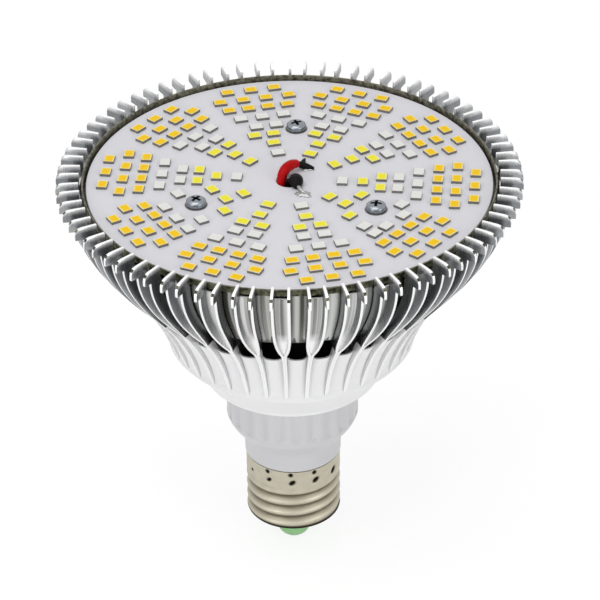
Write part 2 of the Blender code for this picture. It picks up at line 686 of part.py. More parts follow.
def make_driver(board_finish, can_finish, core_finish, block_finish):
    """Upright circuit board in the neck, with its main parts on both faces."""
    half = NECK_BORE - CLEARANCE
    face = DRIVER_THICKNESS / 2
    foot, top = driver_foot(), driver_top()
    mesh = mesh_from("driver", lambda shape: box(shape, (-half, -face, foot), (half, face, top)))
    add_object("driver_board", mesh, board_finish)

    can_foot = Z_COLLAR + 2 * MM
    can_centre = face + CLEARANCE + CAN_RADIUS

    def can(shape):
        rings = []
        edge = 0.5 * MM
        for radius, z in ((0.9, 0), (1.0, edge), (1.0, CAN_LENGTH - edge), (0.9, CAN_LENGTH)):
            ring = [(math.cos(math.pi * side / 8), math.sin(math.pi * side / 8)) for side in range(16)]
            rings.append([(CAN_RADIUS * radius * x, can_centre + CAN_RADIUS * radius * y, can_foot + z)
                          for x, y in ring])
        lofted(shape, rings)
    add_object("driver_capacitor", mesh_from("can", can), can_finish)

    near = -face - CLEARANCE
    spool_centre = can_foot + CAN_LENGTH + SPOOL_RADIUS

    def spool(shape):
        rings = []
        for radius, depth in ((1.0, 0), (1.0, 0.15), (0.75, 0.2), (0.75, 0.8), (1.0, 0.85), (1.0, 1.0)):
            ring = [(math.cos(math.pi * side / 8), math.sin(math.pi * side / 8)) for side in range(16)]
            rings.append([(SPOOL_RADIUS * radius * x, near - SPOOL_HEIGHT * depth,
                           spool_centre + SPOOL_RADIUS * radius * z) for x, z in ring])
        lofted(shape, rings)
    add_object("driver_inductor", mesh_from("spool", spool), core_finish)

    def block(size, foot):
        width, depth, height = size
        return lambda shape: box(shape, (-width / 2, near - depth, foot), (width / 2, near, foot + height))
    film = mesh_from("film", block(FILM_SIZE, can_foot + 3 * MM))
    add_object("film_capacitor", film, core_finish)
    bridge = mesh_from("bridge", block(BRIDGE_SIZE, Z_NECK))
    add_object("bridge_rectifier", bridge, block_finish)


def smooth_route(points, per_span):
    """Points of a Catmull-Rom curve through the route's own points."""
    route = [Vector(point) for point in points]
    padded = [route[0] * 2 - route[1]] + route + [route[-1] * 2 - route[-2]]
    out = []
    for index in range(1, len(padded) - 2):
        before, here, there, beyond = padded[index - 1:index + 3]
        for step in range(per_span):
            t = step / per_span
            slope = there - before
            bend = 2 * before - 5 * here + 4 * there - beyond
            twist = 3 * here - before - 3 * there + beyond
            out.append(0.5 * (2 * here + slope * t + bend * t ** 2 + twist * t ** 3))
    out.append(route[-1])
    return out


def lead(name, points, radius, material, per_span=3):
    """A round wire along a smooth route, with closed ends."""
    curve = bpy.data.curves.new(name, "CURVE")
    curve.dimensions = "3D"
    curve.bevel_depth = radius
    curve.bevel_resolution = 2
    curve.use_fill_caps = True
    route = smooth_route(points, per_span)
    spline = curve.splines.new("POLY")
    spline.points.add(len(route) - 1)
    for point, place in zip(spline.points, route):
        point.co = (*place, 1)
    curve.materials.append(material)
    obj = bpy.data.objects.new(name, curve)
    bpy.context.scene.collection.objects.link(obj)


def make_leads(red, black, bare):
    """Leads from the driver to the LED board, the contact and the screw shell."""
    start = driver_top() + CLEARANCE
    bend = Z_BOARD_TOP
    middle = 0.5 * (start + bend)
    red_end = RED_SOLDER - Vector((SOLDER_RADIUS + RED_LEAD_RADIUS, 0, 0))
    red_route = [(-1.6 * MM, 0, start), (-1.7 * MM, 0, middle), (-1.8 * MM, 0, bend - 4 * MM)]
    red_route += [(-1.9 * MM, 0.2 * MM, bend + 0.8 * MM), (-1.2 * MM, 1.8 * MM, bend + 2.9 * MM)]
    red_route += [(0.2 * MM, 3.9 * MM, bend + 2.8 * MM), (red_end.x, red_end.y, bend + 1.6 * MM)]
    lead("red_lead", red_route, RED_LEAD_RADIUS, red)
    black_end = BLACK_SOLDER + Vector((-0.4 * SOLDER_RADIUS, SOLDER_RADIUS + 0.5 * BLACK_LEAD_RADIUS, 0))
    black_route = [(1.6 * MM, 0, start), (1.6 * MM, 0, middle), (1.6 * MM, 0.4 * MM, bend - 4 * MM)]
    black_route += [(1.6 * MM, 0.4 * MM, bend + 0.6 * MM), (1.7 * MM, -0.8 * MM, bend + 2.1 * MM)]
    black_route += [(2.1 * MM, -3.0 * MM, bend + 2.2 * MM), (black_end.x, black_end.y, bend + 1.6 * MM)]
    lead("black_lead", black_route, BLACK_LEAD_RADIUS, black)
    low, foot = contact_top() + CLEARANCE, driver_foot()
    live_route = [(0, 0, low), (0, 0, 0.5 * (low + foot)), (0, 0, foot - CLEARANCE)]
    lead("live_lead", live_route, SUPPLY_LEAD_RADIUS, bare, 1)
    wall = SHELL_RADIUS - THREAD_DEPTH - SHELL_SHEET - CLEARANCE - SUPPLY_LEAD_RADIUS
    side = DRIVER_THICKNESS / 2 + SUPPLY_LEAD_RADIUS + CLEARANCE
    neutral_route = [(0.5 * wall, side, foot + 2 * MM), (0.55 * wall, 0.2 * wall, foot + MM)]
    neutral_route += [(0.6 * wall, 0.5 * wall, foot), (0.64 * wall, 0.76 * wall, foot + 1.5 * MM)]
    lead("neutral_lead", neutral_route, SUPPLY_LEAD_RADIUS, bare, 2)


def main():
    clear_scene()
    aluminium = finish("fin_aluminium", (0.82, 0.83, 0.84), 0.3, 1.0)
    cup_aluminium = finish("cup_aluminium", (0.45, 0.45, 0.38), 0.35, 1.0)
    white = finish("white_plastic", (0.86, 0.86, 0.87), 0.4)
    nickel = finish("cap_nickel", (0.72, 0.68, 0.56), 0.28, 1.0)
    board_white = finish("board_white", (0.75, 0.74, 0.80), 0.5)
    green = finish("insulator_green", (0.30, 0.62, 0.26), 0.4)
    circuit = finish("circuit_green", (0.05, 0.22, 0.08), 0.5)
    dark = finish("dark_parts", (0.03, 0.03, 0.035), 0.45)
    red = finish("red_sleeve", (0.62, 0.01, 0.02), 0.45)
    black = finish("black_sleeve", (0.012, 0.012, 0.014), 0.4)
    steel = finish("screw_steel", (0.62, 0.64, 0.66), 0.25, 1.0)
    grey = finish("pad_grey", (0.4, 0.4, 0.42), 0.8)
    tinned = finish("tinned_wire", (0.7, 0.7, 0.68), 0.3, 1.0)
    make_fins(aluminium)
    make_cup(cup_aluminium)
    make_board(board_white, grey)
    make_screws(steel)
    make_lower_shell(white)
    make_base_housing(white)
    make_screw_shell(nickel)
    make_insulator(green)
    make_contact(nickel)
    make_driver(circuit, dark, dark, dark)
    make_leads(red, black, tinned)


main()
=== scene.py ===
# %% [markdown]
# # A grow lamp with 200 LEDs
# The imported model holds the lamp's real pieces at their real size. This script gives each of them the look of the
# product photograph: folded bright fins, a white LED board, white mouldings and a nickel screw cap. First the frame is
# loaded.

# %% The frame
import math
import random

import bmesh
import bpy
from mathutils import Matrix, Vector


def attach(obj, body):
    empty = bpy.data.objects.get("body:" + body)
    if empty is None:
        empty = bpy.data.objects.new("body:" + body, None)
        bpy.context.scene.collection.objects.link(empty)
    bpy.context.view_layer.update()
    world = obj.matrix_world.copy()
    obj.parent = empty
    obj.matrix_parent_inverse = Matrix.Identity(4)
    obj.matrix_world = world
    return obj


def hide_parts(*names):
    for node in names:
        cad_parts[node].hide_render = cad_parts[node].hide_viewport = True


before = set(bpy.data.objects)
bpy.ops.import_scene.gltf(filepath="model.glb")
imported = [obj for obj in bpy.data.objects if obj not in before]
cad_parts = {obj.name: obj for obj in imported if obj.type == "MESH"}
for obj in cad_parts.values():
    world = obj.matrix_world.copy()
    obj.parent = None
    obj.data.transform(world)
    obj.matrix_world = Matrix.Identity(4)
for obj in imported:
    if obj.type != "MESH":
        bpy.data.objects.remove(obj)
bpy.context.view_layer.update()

MM = 0.001

# %% [markdown]
# The camera stands where the photographer's did: the places of the LEDs in the photograph give its distance, its
# height and its turn. It is a long lens from 0.8 m away, which is why the round board looks so even.

# %% The camera
LENS = 180.5
CAMERA_PLACE = (0, -0.6772, 0.5252)
CAMERA_RIGHT = Vector((0.99990451, -0.00990185, -0.00963952))
CAMERA_UP = Vector((0.01349994, 0.55087389, 0.8344793))
CAMERA_BACK = Vector((-0.00295273, -0.83452975, 0.55095496))


def linked(name, data):
    """A new object with this data, in the scene."""
    obj = bpy.data.objects.new(name, data)
    bpy.context.scene.collection.objects.link(obj)
    return obj


camera = linked("studio_camera", bpy.data.cameras.new("studio_camera"))
camera.data.sensor_width = 36
camera.data.lens = LENS
camera.data.clip_end = 10
axes = Matrix((CAMERA_RIGHT, CAMERA_UP, CAMERA_BACK)).transposed()
camera.matrix_world = Matrix.Translation(CAMERA_PLACE) @ axes.to_4x4()
bpy.context.scene.camera = camera
print("camera", [round(x, 3) for x in camera.location])

# %% [markdown]
# The light is that of a white tent: a soft white world, a broad lamp above and a softbox at each side. Camera rays,
# mirror-like rays and rays through clear things see the background as pure white. For all other rays it is dimmer, so
# pale plastic keeps its shading.

# %% Light and floor
WORLD_LIGHT = 0.44
TOP_POWER, SIDE_POWER = 3.4, 2.6
FLOOR_GLOW = 0.84
FLOOR_HEIGHT = -1.0 * MM


def two_looks(tree, plain_output, seen_output, target):
    """Camera, glossy and transmission rays see the second shader, and all other rays the plain one."""
    path = tree.nodes.new("ShaderNodeLightPath")
    share = path.outputs["Is Camera Ray"]
    for name in ("Is Glossy Ray", "Is Transmission Ray"):
        either = tree.nodes.new("ShaderNodeMath")
        either.operation = "MAXIMUM"
        tree.links.new(share, either.inputs[0])
        tree.links.new(path.outputs[name], either.inputs[1])
        share = either.outputs[0]
    mixer = tree.nodes.new("ShaderNodeMixShader")
    for place, output in zip(mixer.inputs, (share, plain_output, seen_output)):
        tree.links.new(output, place)
    tree.links.new(mixer.outputs[0], target)


def softbox(name, place, size, power):
    """A round lamp that shines on the middle of the product and can't be seen itself."""
    data = bpy.data.lights.new(name, "AREA")
    data.shape = "DISK"
    data.size = size
    data.energy = power
    lamp = linked(name, data)
    lamp.location = place
    lamp.rotation_euler = (Vector((0, 0, 0.08)) - lamp.location).to_track_quat("-Z", "Y").to_euler()
    lamp.visible_camera = False


world = bpy.data.worlds.new("white_tent")
world.use_nodes = True
bpy.context.scene.world = world
tent = world.node_tree
tent.nodes["Background"].inputs["Color"].default_value = (1, 1, 1, 1)
tent.nodes["Background"].inputs["Strength"].default_value = WORLD_LIGHT
seen = tent.nodes.new("ShaderNodeBackground")
seen.inputs["Color"].default_value = (1, 1, 1, 1)
seen.inputs["Strength"].default_value = 1.0
two_looks(tent, tent.nodes["Background"].outputs[0], seen.outputs[0], tent.nodes["World Output"].inputs[0])
softbox("top_lamp", (-0.15, -0.15, 0.95), 0.8, TOP_POWER)
softbox("left_softbox", (-0.75, -0.75, 0.45), 0.6, SIDE_POWER)
softbox("right_softbox", (0.75, -0.75, 0.45), 0.6, SIDE_POWER)
bpy.context.scene.view_settings.view_transform = "Standard"

bpy.ops.object.select_all(action="DESELECT")
bpy.ops.mesh.primitive_plane_add(size=6, location=(0, 0, FLOOR_HEIGHT))
floor = bpy.context.object
floor.name = "studio_floor"

# %% [markdown]
# Shader maths reads best as a formula. This small class wraps a socket, so that `1 - mask * 0.3` adds the Math nodes
# by itself. The second class is one material: `node` adds any other node, with its settings first and then the values
# or links of its sockets. Most finishes here are the same idea, two tones in soft spots, so one function makes them.

# %% Writing materials as formulas
class Wire:
    """A shader socket that Python's operators work on."""

    def __init__(self, tree, socket):
        self.tree = tree
        self.socket = socket

    def maths(self, operation, left, right):
        node = self.tree.nodes.new("ShaderNodeMath")
        node.operation = operation
        for place, value in zip(node.inputs, (left, right)):
            join(self.tree, place, value)
        return Wire(self.tree, node.outputs[0])

    def __add__(self, other):
        return self.maths("ADD", self, other)

    def __sub__(self, other):
        return self.maths("SUBTRACT", self, other)

    def __rsub__(self, other):
        return self.maths("SUBTRACT", other, self)

    def __mul__(self, other):
        return self.maths("MULTIPLY", self, other)

    def __truediv__(self, other):
        return self.maths("DIVIDE", self, other)

    __radd__ = __add__
    __rmul__ = __mul__


def join(tree, place, value):
    """Links a wire to a socket, or sets the socket's value."""
    if isinstance(value, Wire):
        tree.links.new(value.socket, place)
    elif isinstance(value, (tuple, list)) and len(value) == 3 and len(place.default_value) == 4:
        place.default_value = (*value, 1)
    else:
        place.default_value = value


class Finish:
    """One material with a Principled BSDF."""

    def __init__(self, name, **sockets):
        self.material = bpy.data.materials.new(name)
        self.material.use_nodes = True
        self.tree = self.material.node_tree
        self.shader = self.tree.nodes["Principled BSDF"]
        self.place = self.node("TexCoord", output="Object")
        self.set(**sockets)

    def set(self, **sockets):
        for name, value in sockets.items():
            join(self.tree, self.shader.inputs[name.replace("_", " ")], value)

    def node(self, kind, settings=(), output=0, **sockets):
        node = self.tree.nodes.new("ShaderNode" + kind)
        for name, value in dict(settings).items():
            setattr(node, name, value)
        for name, value in sockets.items():
            join(self.tree, node.inputs[name.replace("_", " ")], value)
        return Wire(self.tree, node.outputs[output])

    def height(self):
        return self.node("SeparateXYZ", Vector=self.place, output="Z")

    def noise(self, size, detail=3.0, stretch=(1, 1, 1)):
        """A soft pattern from 0 to 1, whose spots are about that size in metres."""
        spread = self.node("Mapping", Vector=self.place, Scale=stretch)
        return self.node("TexNoise", Vector=spread, Scale=1 / size, Detail=detail, Roughness=0.55)

    def streaks(self, size, detail=2.0):
        """Upright streaks: a pattern that depends on the direction from the lamp's axis alone."""
        flat = self.node("Mapping", Vector=self.place, Scale=(1, 1, 0.015))
        direction = self.node("VectorMath", {"operation": "NORMALIZE"}, Vector=flat)
        return self.node("TexNoise", Vector=direction, Scale=52 * MM / size, Detail=detail, Roughness=0.55)

    def blend(self, share, low, high):
        """Goes from one colour to another."""
        node = self.tree.nodes.new("ShaderNodeMix")
        node.data_type = "RGBA"
        join(self.tree, node.inputs["Factor"], share)
        for place, value in zip([socket for socket in node.inputs if socket.type == "RGBA"], (low, high)):
            join(self.tree, place, value)
        return Wire(self.tree, [socket for socket in node.outputs if socket.type == "RGBA"][0])

    def bump(self, height, depth, strength=1.0):
        self.set(Normal=self.node("Bump", Height=height, Distance=depth, Strength=strength))


def mottled(name, pattern, low, high, rough=None, contrast=None, **sockets):
    """A finish with one soft pattern for its two tones and, if a base and a swing are given, for its roughness."""
    finish = Finish(name, **sockets)
    finish.spots = finish.noise(*pattern)
    share = (finish.spots - contrast[0]) / contrast[1] if contrast else finish.spots
    finish.set(Base_Color=finish.blend(share, low, high))
    if rough:
        finish.set(Roughness=rough[0] + finish.spots * rough[1])
    return finish


def grey(tone):
    return (tone, tone, tone)


# The camera sees a glow plus a share of real light: white where the floor is lit, a soft grey in the lamp's shadow.
floor_finish = Finish("floor_paint", Base_Color=grey(0.95), Roughness=0.9)
glow = floor_finish.node("Emission", Color=grey(1), Strength=FLOOR_GLOW)
matt = floor_finish.node("BsdfDiffuse", Color=grey(0.22))
lit_floor = floor_finish.tree.nodes.new("ShaderNodeAddShader")
floor_finish.tree.links.new(glow.socket, lit_floor.inputs[0])
floor_finish.tree.links.new(matt.socket, lit_floor.inputs[1])
floor_out = floor_finish.tree.nodes["Material Output"].inputs[0]
two_looks(floor_finish.tree, floor_finish.shader.outputs[0], lit_floor.outputs[0], floor_out)
floor.data.materials.append(floor_finish.material)
print("world, three lamps and", floor.name)

# %% [markdown]
# The fins are bare aluminium sheet. The rolled faces mirror their surroundings along fine upright lines. Between two
# fins little light gets in, so their faces are painted charcoal as shade, darkest at their foot. Inside a fold the
# sheet is painted paler, with painted light at its foot, and the web is painted bright as light, white at its foot. The
# tops get a pale painted light, and the sheared edges scatter the light and look white. The bowl's wall is painted dark
# as shade, with broad upright streaks, and its foot is black painted shade with a ragged edge.

# %% Sheet aluminium
# Heights where painted light and shade begin: the fins' foot tone, their pale tops, the web's white foot, the bowl's
# black foot.
PAINTED_FOOT_LOW, PAINTED_FOOT_HIGH = 91.5 * MM, 101 * MM
LIT_TOP_LOW, LIT_TOP_HIGH = 116.9 * MM, 118.3 * MM
WEB_LIGHT_TOP, WEB_LIGHT_FADE = 101.5 * MM, 5 * MM
SHADE_TOP, SHADE_FADE, SHADE_RAGGED = 103.8 * MM, 0.8 * MM, 16 * MM


def rolled_sheet(name, low, high, painted_foot):
    """Rolled sheet in two tones, with a painted foot tone and a pale painted light along the top."""
    sheet = Finish(name)
    rolling = sheet.noise(0.9 * MM, 4, (1, 1, 0.04))
    # Towards the foot the colour goes to the painted foot tone, and along the top to a pale painted light.
    above_painted_foot = sheet.node("MapRange", Value=sheet.height(), From_Min=PAINTED_FOOT_LOW, From_Max=PAINTED_FOOT_HIGH)
    lit_top = sheet.node("MapRange", Value=sheet.height(), From_Min=LIT_TOP_LOW, From_Max=LIT_TOP_HIGH)
    tone = sheet.blend(rolling * 0.4 + sheet.noise(9 * MM, 2) * 0.6, low, high)
    sheet.set(Base_Color=sheet.blend(lit_top, sheet.blend(above_painted_foot, painted_foot, tone), (0.93, 0.93, 0.94)))
    sheet.set(Metallic=0.75 - lit_top * 0.45, Roughness=0.2 + rolling * 0.16)
    sheet.bump(rolling, 0.02 * MM, 0.5)
    return sheet


# Outer faces: charcoal painted shade, near black at the foot. Inside a fold: paler, with painted light at the foot.
shaded_fin_face = rolled_sheet("rolled_aluminium_painted_shade", (0.12, 0.13, 0.14), (0.36, 0.37, 0.38), grey(0.025))
fold_inside_lit = rolled_sheet("fold_inside_lit", (0.22, 0.23, 0.24), (0.52, 0.53, 0.54), (0.82, 0.82, 0.81))
cut_edge = mottled("sheared_edge", (0.4 * MM, 4), grey(0.90), grey(0.97), (0.4, 0.2), Metallic=0.8)
leg_side = mottled("leg_side", (0.6 * MM, 3, (1, 1, 0.1)), grey(0.62), grey(0.88), (0.4, 0.2), Metallic=0.5)

# The web is painted brighter than the fins as light, with streaks, and goes white towards its foot as painted light.
lit_web_face = Finish("web_painted_light", Metallic=0.85)
web_lines = lit_web_face.streaks(1.2 * MM)
lit_web_tone = lit_web_face.blend((web_lines - 0.38) / 0.26, (0.13, 0.13, 0.12), (0.76, 0.76, 0.75))
lit_web_face.set(Base_Color=lit_web_face.blend((WEB_LIGHT_TOP - lit_web_face.height()) / WEB_LIGHT_FADE, lit_web_tone, grey(0.97)))
lit_web_face.set(Roughness=0.25 + web_lines * 0.15)

# The wall is painted dark as shade, streaked along its drawing lines, with black painted shade and a ragged edge at its
# foot.
cup_face = Finish("drawn_aluminium_painted_shade", Metallic=1.0)
drawing = cup_face.streaks(2.0 * MM)
cup_shade_tone = cup_face.blend((drawing - 0.41) / 0.24, (0.07, 0.07, 0.058), (0.54, 0.55, 0.53))
above_painted_shade = (cup_face.height() + cup_face.streaks(0.9 * MM, 4) * SHADE_RAGGED - SHADE_TOP) / SHADE_FADE
cup_face.set(Base_Color=cup_face.blend(above_painted_shade, grey(0.004), cup_shade_tone), Roughness=0.2 + drawing * 0.1)

rim_and_corner_reflection = mottled("rolled_rim", (1.4 * MM, 4), (0.025, 0.025, 0.015), (0.19, 0.195, 0.125), (0.3, 0.15),
                   contrast=(0.38, 0.3), Metallic=0.9)
rim_inside = mottled("rim_inside", (1.2 * MM, 4), (0.05, 0.045, 0.03), (0.22, 0.21, 0.155), (0.35, 0.2),
                     contrast=(0.35, 0.25), Metallic=0.6)
# Black painted shade for the lamp's inside faces and the parts within it.
painted_shade_inside = mottled("painted_shade_inside", (3 * MM,), grey(0.004), grey(0.012), Roughness=0.9)
print(len(bpy.data.materials), "materials so far")

# %% [markdown]
# The mouldings are satin white plastic with the faint grain of a sparked mould, and the base is a shade greyer than
# the shell above it. The cap is nickel-plated sheet. Its thread's grooves, its punch marks and its curled lower lip are
# painted dark as shade, so the cap's mesh carries two attributes of painted shade that this finish reads.

# %% Plastics and the cap
def moulding(name, low, high):
    plastic = Finish(name)
    grain = plastic.noise(0.35 * MM, 5)
    plastic.set(Base_Color=plastic.blend(plastic.noise(22 * MM, 2), low, high))
    plastic.set(Roughness=0.36 + grain * 0.16)
    plastic.bump(grain, 0.02 * MM, 0.4)
    return plastic


white_plastic = moulding("white_moulding", (0.86, 0.86, 0.87), (0.91, 0.91, 0.92))
base_plastic = moulding("base_moulding", (0.625, 0.625, 0.64), (0.675, 0.675, 0.69))

nickel = Finish("plated_cap", Specular_IOR_Level=0.1)
plating = nickel.noise(2.5 * MM, 4)
scratches = nickel.noise(0.5 * MM, 3, (0.08, 0.08, 1))
# Painted shade: the grooves go dark brown, and the punch marks and the curled lower lip go black and matte.
groove_shade = nickel.node("Attribute", {"attribute_name": "groove_shade"}, output="Fac")
mark = nickel.node("Attribute", {"attribute_name": "mark"}, output="Fac")
sheet_tone = nickel.blend(plating, (0.45, 0.415, 0.325), (0.62, 0.585, 0.48))
groove_shaded_tone = nickel.blend(groove_shade * (0.75 + plating * 0.5), sheet_tone, (0.19, 0.165, 0.12))
nickel.set(Base_Color=nickel.blend(mark, groove_shaded_tone, (0.006, 0.005, 0.003)), Metallic=1 - mark)
nickel.set(Roughness=0.40 + scratches * 0.2 + mark * 0.4)
nickel.bump(scratches, 0.01 * MM, 0.5)

green_plastic = mottled("green_insulator", (3 * MM,), (0.28, 0.56, 0.24), (0.37, 0.66, 0.33), (0.25, 0.2))
print("plastics and", nickel.material.name)

# %% [markdown]
# The board is aluminium under white solder mask, with a slight lavender tint. An LED package has a white body, dark
# grey sides that are partly its metal frame and partly painted shade, and a phosphor face: orange in the outer rows,
# white in the middle and lemon yellow inside.

# %% Board and LED finishes
solder_mask = Finish("solder_mask")
orange_peel = solder_mask.noise(0.7 * MM, 3)
wash = solder_mask.noise(26 * MM, 2)
solder_mask.set(Base_Color=solder_mask.blend(wash, (0.69, 0.685, 0.73), (0.735, 0.73, 0.77)))
solder_mask.set(Roughness=0.34 + orange_peel * 0.14)
solder_mask.bump(orange_peel, 0.02 * MM, 0.4)

PHOSPHORS = {
    "orange": ((0.90, 0.54, 0.002), (0.97, 0.64, 0.012), (0.90, 0.76, 0.28)),
    "yellow": ((0.86, 0.77, 0.02), (0.93, 0.85, 0.06), (0.88, 0.84, 0.34)),
    "white": ((0.77, 0.77, 0.74), (0.83, 0.83, 0.80), (0.77, 0.77, 0.76)),
}
phosphor, phosphor_edge = {}, {}
for tint, (deep, pale, edge) in PHOSPHORS.items():
    phosphor[tint] = mottled("phosphor_" + tint, (0.8 * MM,), deep, pale, (0.35, 0.2), Specular_IOR_Level=0.15)
    phosphor_edge[tint] = mottled("phosphor_edge_" + tint, (0.5 * MM,), pale, edge, (0.4, 0.2))
led_body = mottled("led_body", (0.3 * MM,), (0.66, 0.65, 0.58), (0.78, 0.77, 0.70), Roughness=0.5)
# Dark grey of the packages' metal frames, darkened further as painted shade; the lone part and the screw rings use it
# too.
dark_part_and_shade = mottled("dark_part_and_shade", (0.7 * MM,), (0.065, 0.06, 0.055), (0.25, 0.24, 0.22), Roughness=0.45)

solder = mottled("solder", (0.7 * MM, 4), (0.10, 0.10, 0.095), (0.58, 0.58, 0.57), (0.2, 0.25), Metallic=1.0)
solder.bump(solder.spots, 0.15 * MM, 0.6)
steel = mottled("plated_steel", (0.5 * MM, 4), (0.17, 0.19, 0.215), (0.34, 0.365, 0.39), (0.18, 0.18), Metallic=1.0)
red_sleeve = mottled("red_sleeve", (1.5 * MM,), (0.32, 0.001, 0.002), (0.54, 0.003, 0.005), (0.32, 0.15),
                     Specular_IOR_Level=0.1)
black_sleeve = mottled("black_sleeve", (1.2 * MM,), (0.001, 0.001, 0.0015), (0.006, 0.006, 0.007), (0.42, 0.2),
                       Specular_IOR_Level=0.1)
print(len(bpy.data.materials), "materials")

# %% [markdown]
# Most of the lamp is round about one axis, so most pieces are turned as on a lathe. A plane is merged to one point,
# the point is extruded along the outline, and the outline is spun about Z. A closed outline gives a ring with a bore.

# %% Turning, painting and copying
def deselect():
    """Goes to Object Mode with nothing selected."""
    if bpy.context.mode != "OBJECT":
        bpy.ops.object.mode_set(mode="OBJECT")
    bpy.ops.object.select_all(action="DESELECT")


def pick(obj):
    deselect()
    obj.select_set(True)
    bpy.context.view_layer.objects.active = obj


def select_where(kind, choose):
    """In Edit Mode, selects the verts, edges or faces that the test picks."""
    bpy.ops.mesh.select_all(action="DESELECT")
    mesh = bmesh.from_edit_mesh(bpy.context.object.data)
    for part in getattr(mesh, kind):
        part.select_set(choose(part))


def smooth(piece, degrees):
    """Shades it smooth, apart from edges that are sharper than the angle."""
    pick(piece)
    bpy.ops.object.shade_smooth_by_angle(angle=math.radians(degrees))


def modified(piece, kind, **settings):
    """Adds a modifier with these settings and applies it."""
    modifier = piece.modifiers.new(kind, kind)
    for name, value in settings.items():
        setattr(modifier, name, value)
    pick(piece)
    bpy.ops.object.modifier_apply(modifier=modifier.name)


def bevelled(piece, width, segments=2, degrees=40):
    modified(piece, "BEVEL", width=width, segments=segments, limit_method="ANGLE", angle_limit=math.radians(degrees))


def turned(name, outline, steps, closed=True, degrees=30):
    """Spins an outline of (radius, height) points about Z."""
    deselect()
    bpy.ops.mesh.primitive_plane_add(size=1)
    piece = bpy.context.object
    piece.name = name
    bpy.ops.object.mode_set(mode="EDIT")
    bpy.ops.mesh.merge(type="CENTER")
    bpy.ops.transform.translate(value=(outline[0][0], 0, outline[0][1]))
    for (r, z), (next_r, next_z) in zip(outline, outline[1:]):
        bpy.ops.mesh.extrude_vertices_move(TRANSFORM_OT_translate={"value": (next_r - r, 0, next_z - z)})
    if closed:
        select_where("verts", lambda vert: len(vert.link_edges) == 1)
        bpy.ops.mesh.edge_face_add()
    bpy.ops.mesh.select_all(action="SELECT")
    bpy.ops.mesh.spin(steps=steps, angle=2 * math.pi, center=(0, 0, 0), axis=(0, 0, 1))
    bpy.ops.mesh.select_all(action="SELECT")
    bpy.ops.mesh.remove_doubles(threshold=0.001 * MM)
    bpy.ops.mesh.normals_make_consistent(inside=False)
    smooth(piece, degrees)
    return piece


def rest_origin(piece):
    """Puts the object at the origin, with its place in its mesh."""
    pick(piece)
    bpy.ops.object.transform_apply(location=True, rotation=True, scale=True)
    return piece


def finished(piece, *finishes):
    """Gives a piece its finishes, the first one for all its faces."""
    piece.data.materials.clear()
    for finish in finishes:
        piece.data.materials.append(finish.material)


def paint(piece, index, choose):
    """Gives a finish to the faces that the test picks."""
    for face in piece.data.polygons:
        if choose(face):
            face.material_index = index


def turned_copy(piece, name, matrix):
    """A copy with its own mesh, moved by the matrix."""
    copy = linked(name, piece.data.copy())
    copy.data.name = name
    copy.data.transform(matrix)
    return copy


def joined(name, pieces):
    deselect()
    for piece in pieces:
        piece.select_set(True)
    bpy.context.view_layer.objects.active = pieces[0]
    bpy.ops.object.join()
    pieces[0].name = name
    return pieces[0]


def moved_in(vert, depth):
    """Moves a point towards the axis."""
    keep = 1 - depth / vert.co.xy.length
    vert.co.x, vert.co.y = vert.co.x * keep, vert.co.y * keep


def levels(top, bottom, count):
    """Even heights from the top down."""
    return [top - (top - bottom) * index / count for index in range(count + 1)]


def around(radius, z, *offsets):
    """Outline points at offsets in millimetres from one place."""
    return [(radius + out * MM, z + up * MM) for out, up in offsets]


# %% [markdown]
# The heights and radii below are the frame's own, from the contact up. The lamp's bowl and its flare are both a cubic
# between two radii, with the slope given at each end.

# %% Heights and the fins' edge
PAIRS = 40
FIRST_PAIR = -92.6
SCREW_CIRCLE, FIRST_SCREW = 27 * MM, 85.7
SHEET = 0.7 * MM
Z_CAP_FOOT, Z_CAP_TOP = 9.9 * MM, 29.8 * MM
Z_STEP, Z_COLLAR, Z_COLLAR_TOP = 34.6 * MM, 42.6 * MM, 56.3 * MM
Z_CONE, Z_RIM, Z_FIN_FOOT = 56.6 * MM, 68.2 * MM, 69.1 * MM
Z_SKIRT_TOP, Z_WAIST, Z_CUP_FOOT = 86.5 * MM, 91.1 * MM, 94.9 * MM
Z_SHOULDER, Z_BAND, Z_FIN_TOP = 115.0 * MM, 115.3 * MM, 118.5 * MM
Z_CUP_RIM, Z_PLATE = 117.4 * MM, 113.15 * MM
Z_BOARD, Z_BOARD_TOP = 114.25 * MM, 115.85 * MM
R_BAND, R_SHOULDER, R_WAIST, R_FOOT = 61.4 * MM, 59.0 * MM, 45.4 * MM, 33.4 * MM
R_CUP_RIM, R_BOARD, R_CAP, R_COLLAR, R_NECK = 54.7 * MM, 53.5 * MM, 13.05 * MM, 18.1 * MM, 13.3 * MM
R_CONE_FOOT = 24.0 * MM
DEPTH_TOP, DEPTH_WAIST, DEPTH_FOOT = 4.3 * MM, 3.2 * MM, 1.2 * MM
CLOSING = 11.9 * MM  # the height over which the two fins of a pair close
GAP = 0.3 * MM  # between pieces that stand side by side


def eased(share, start, end, start_slope, end_slope, height):
    """A cubic between two radii with a slope at each end."""
    keep = 1 - 3 * share ** 2 + 2 * share ** 3
    turn = start_slope * share * (1 - share) ** 2 + end_slope * share ** 2 * (share - 1)
    return keep * start + (1 - keep) * end + height * turn


def fin_edge(z):
    """Radius of the fins' outer edge."""
    if z >= Z_WAIST:
        height = Z_SHOULDER - Z_WAIST
        return eased((Z_SHOULDER - z) / height, R_SHOULDER, R_WAIST, -0.05, -0.86, height)
    height = Z_WAIST - Z_FIN_FOOT
    return eased((Z_WAIST - z) / height, R_WAIST, R_FOOT, -0.86, -0.33, height)


def cup_edge(z):
    """Outer radius of the bowl inside the fins."""
    share = (Z_SHOULDER - z) / (Z_SHOULDER - Z_WAIST)
    return fin_edge(z) - DEPTH_TOP + (DEPTH_TOP - DEPTH_WAIST) * share


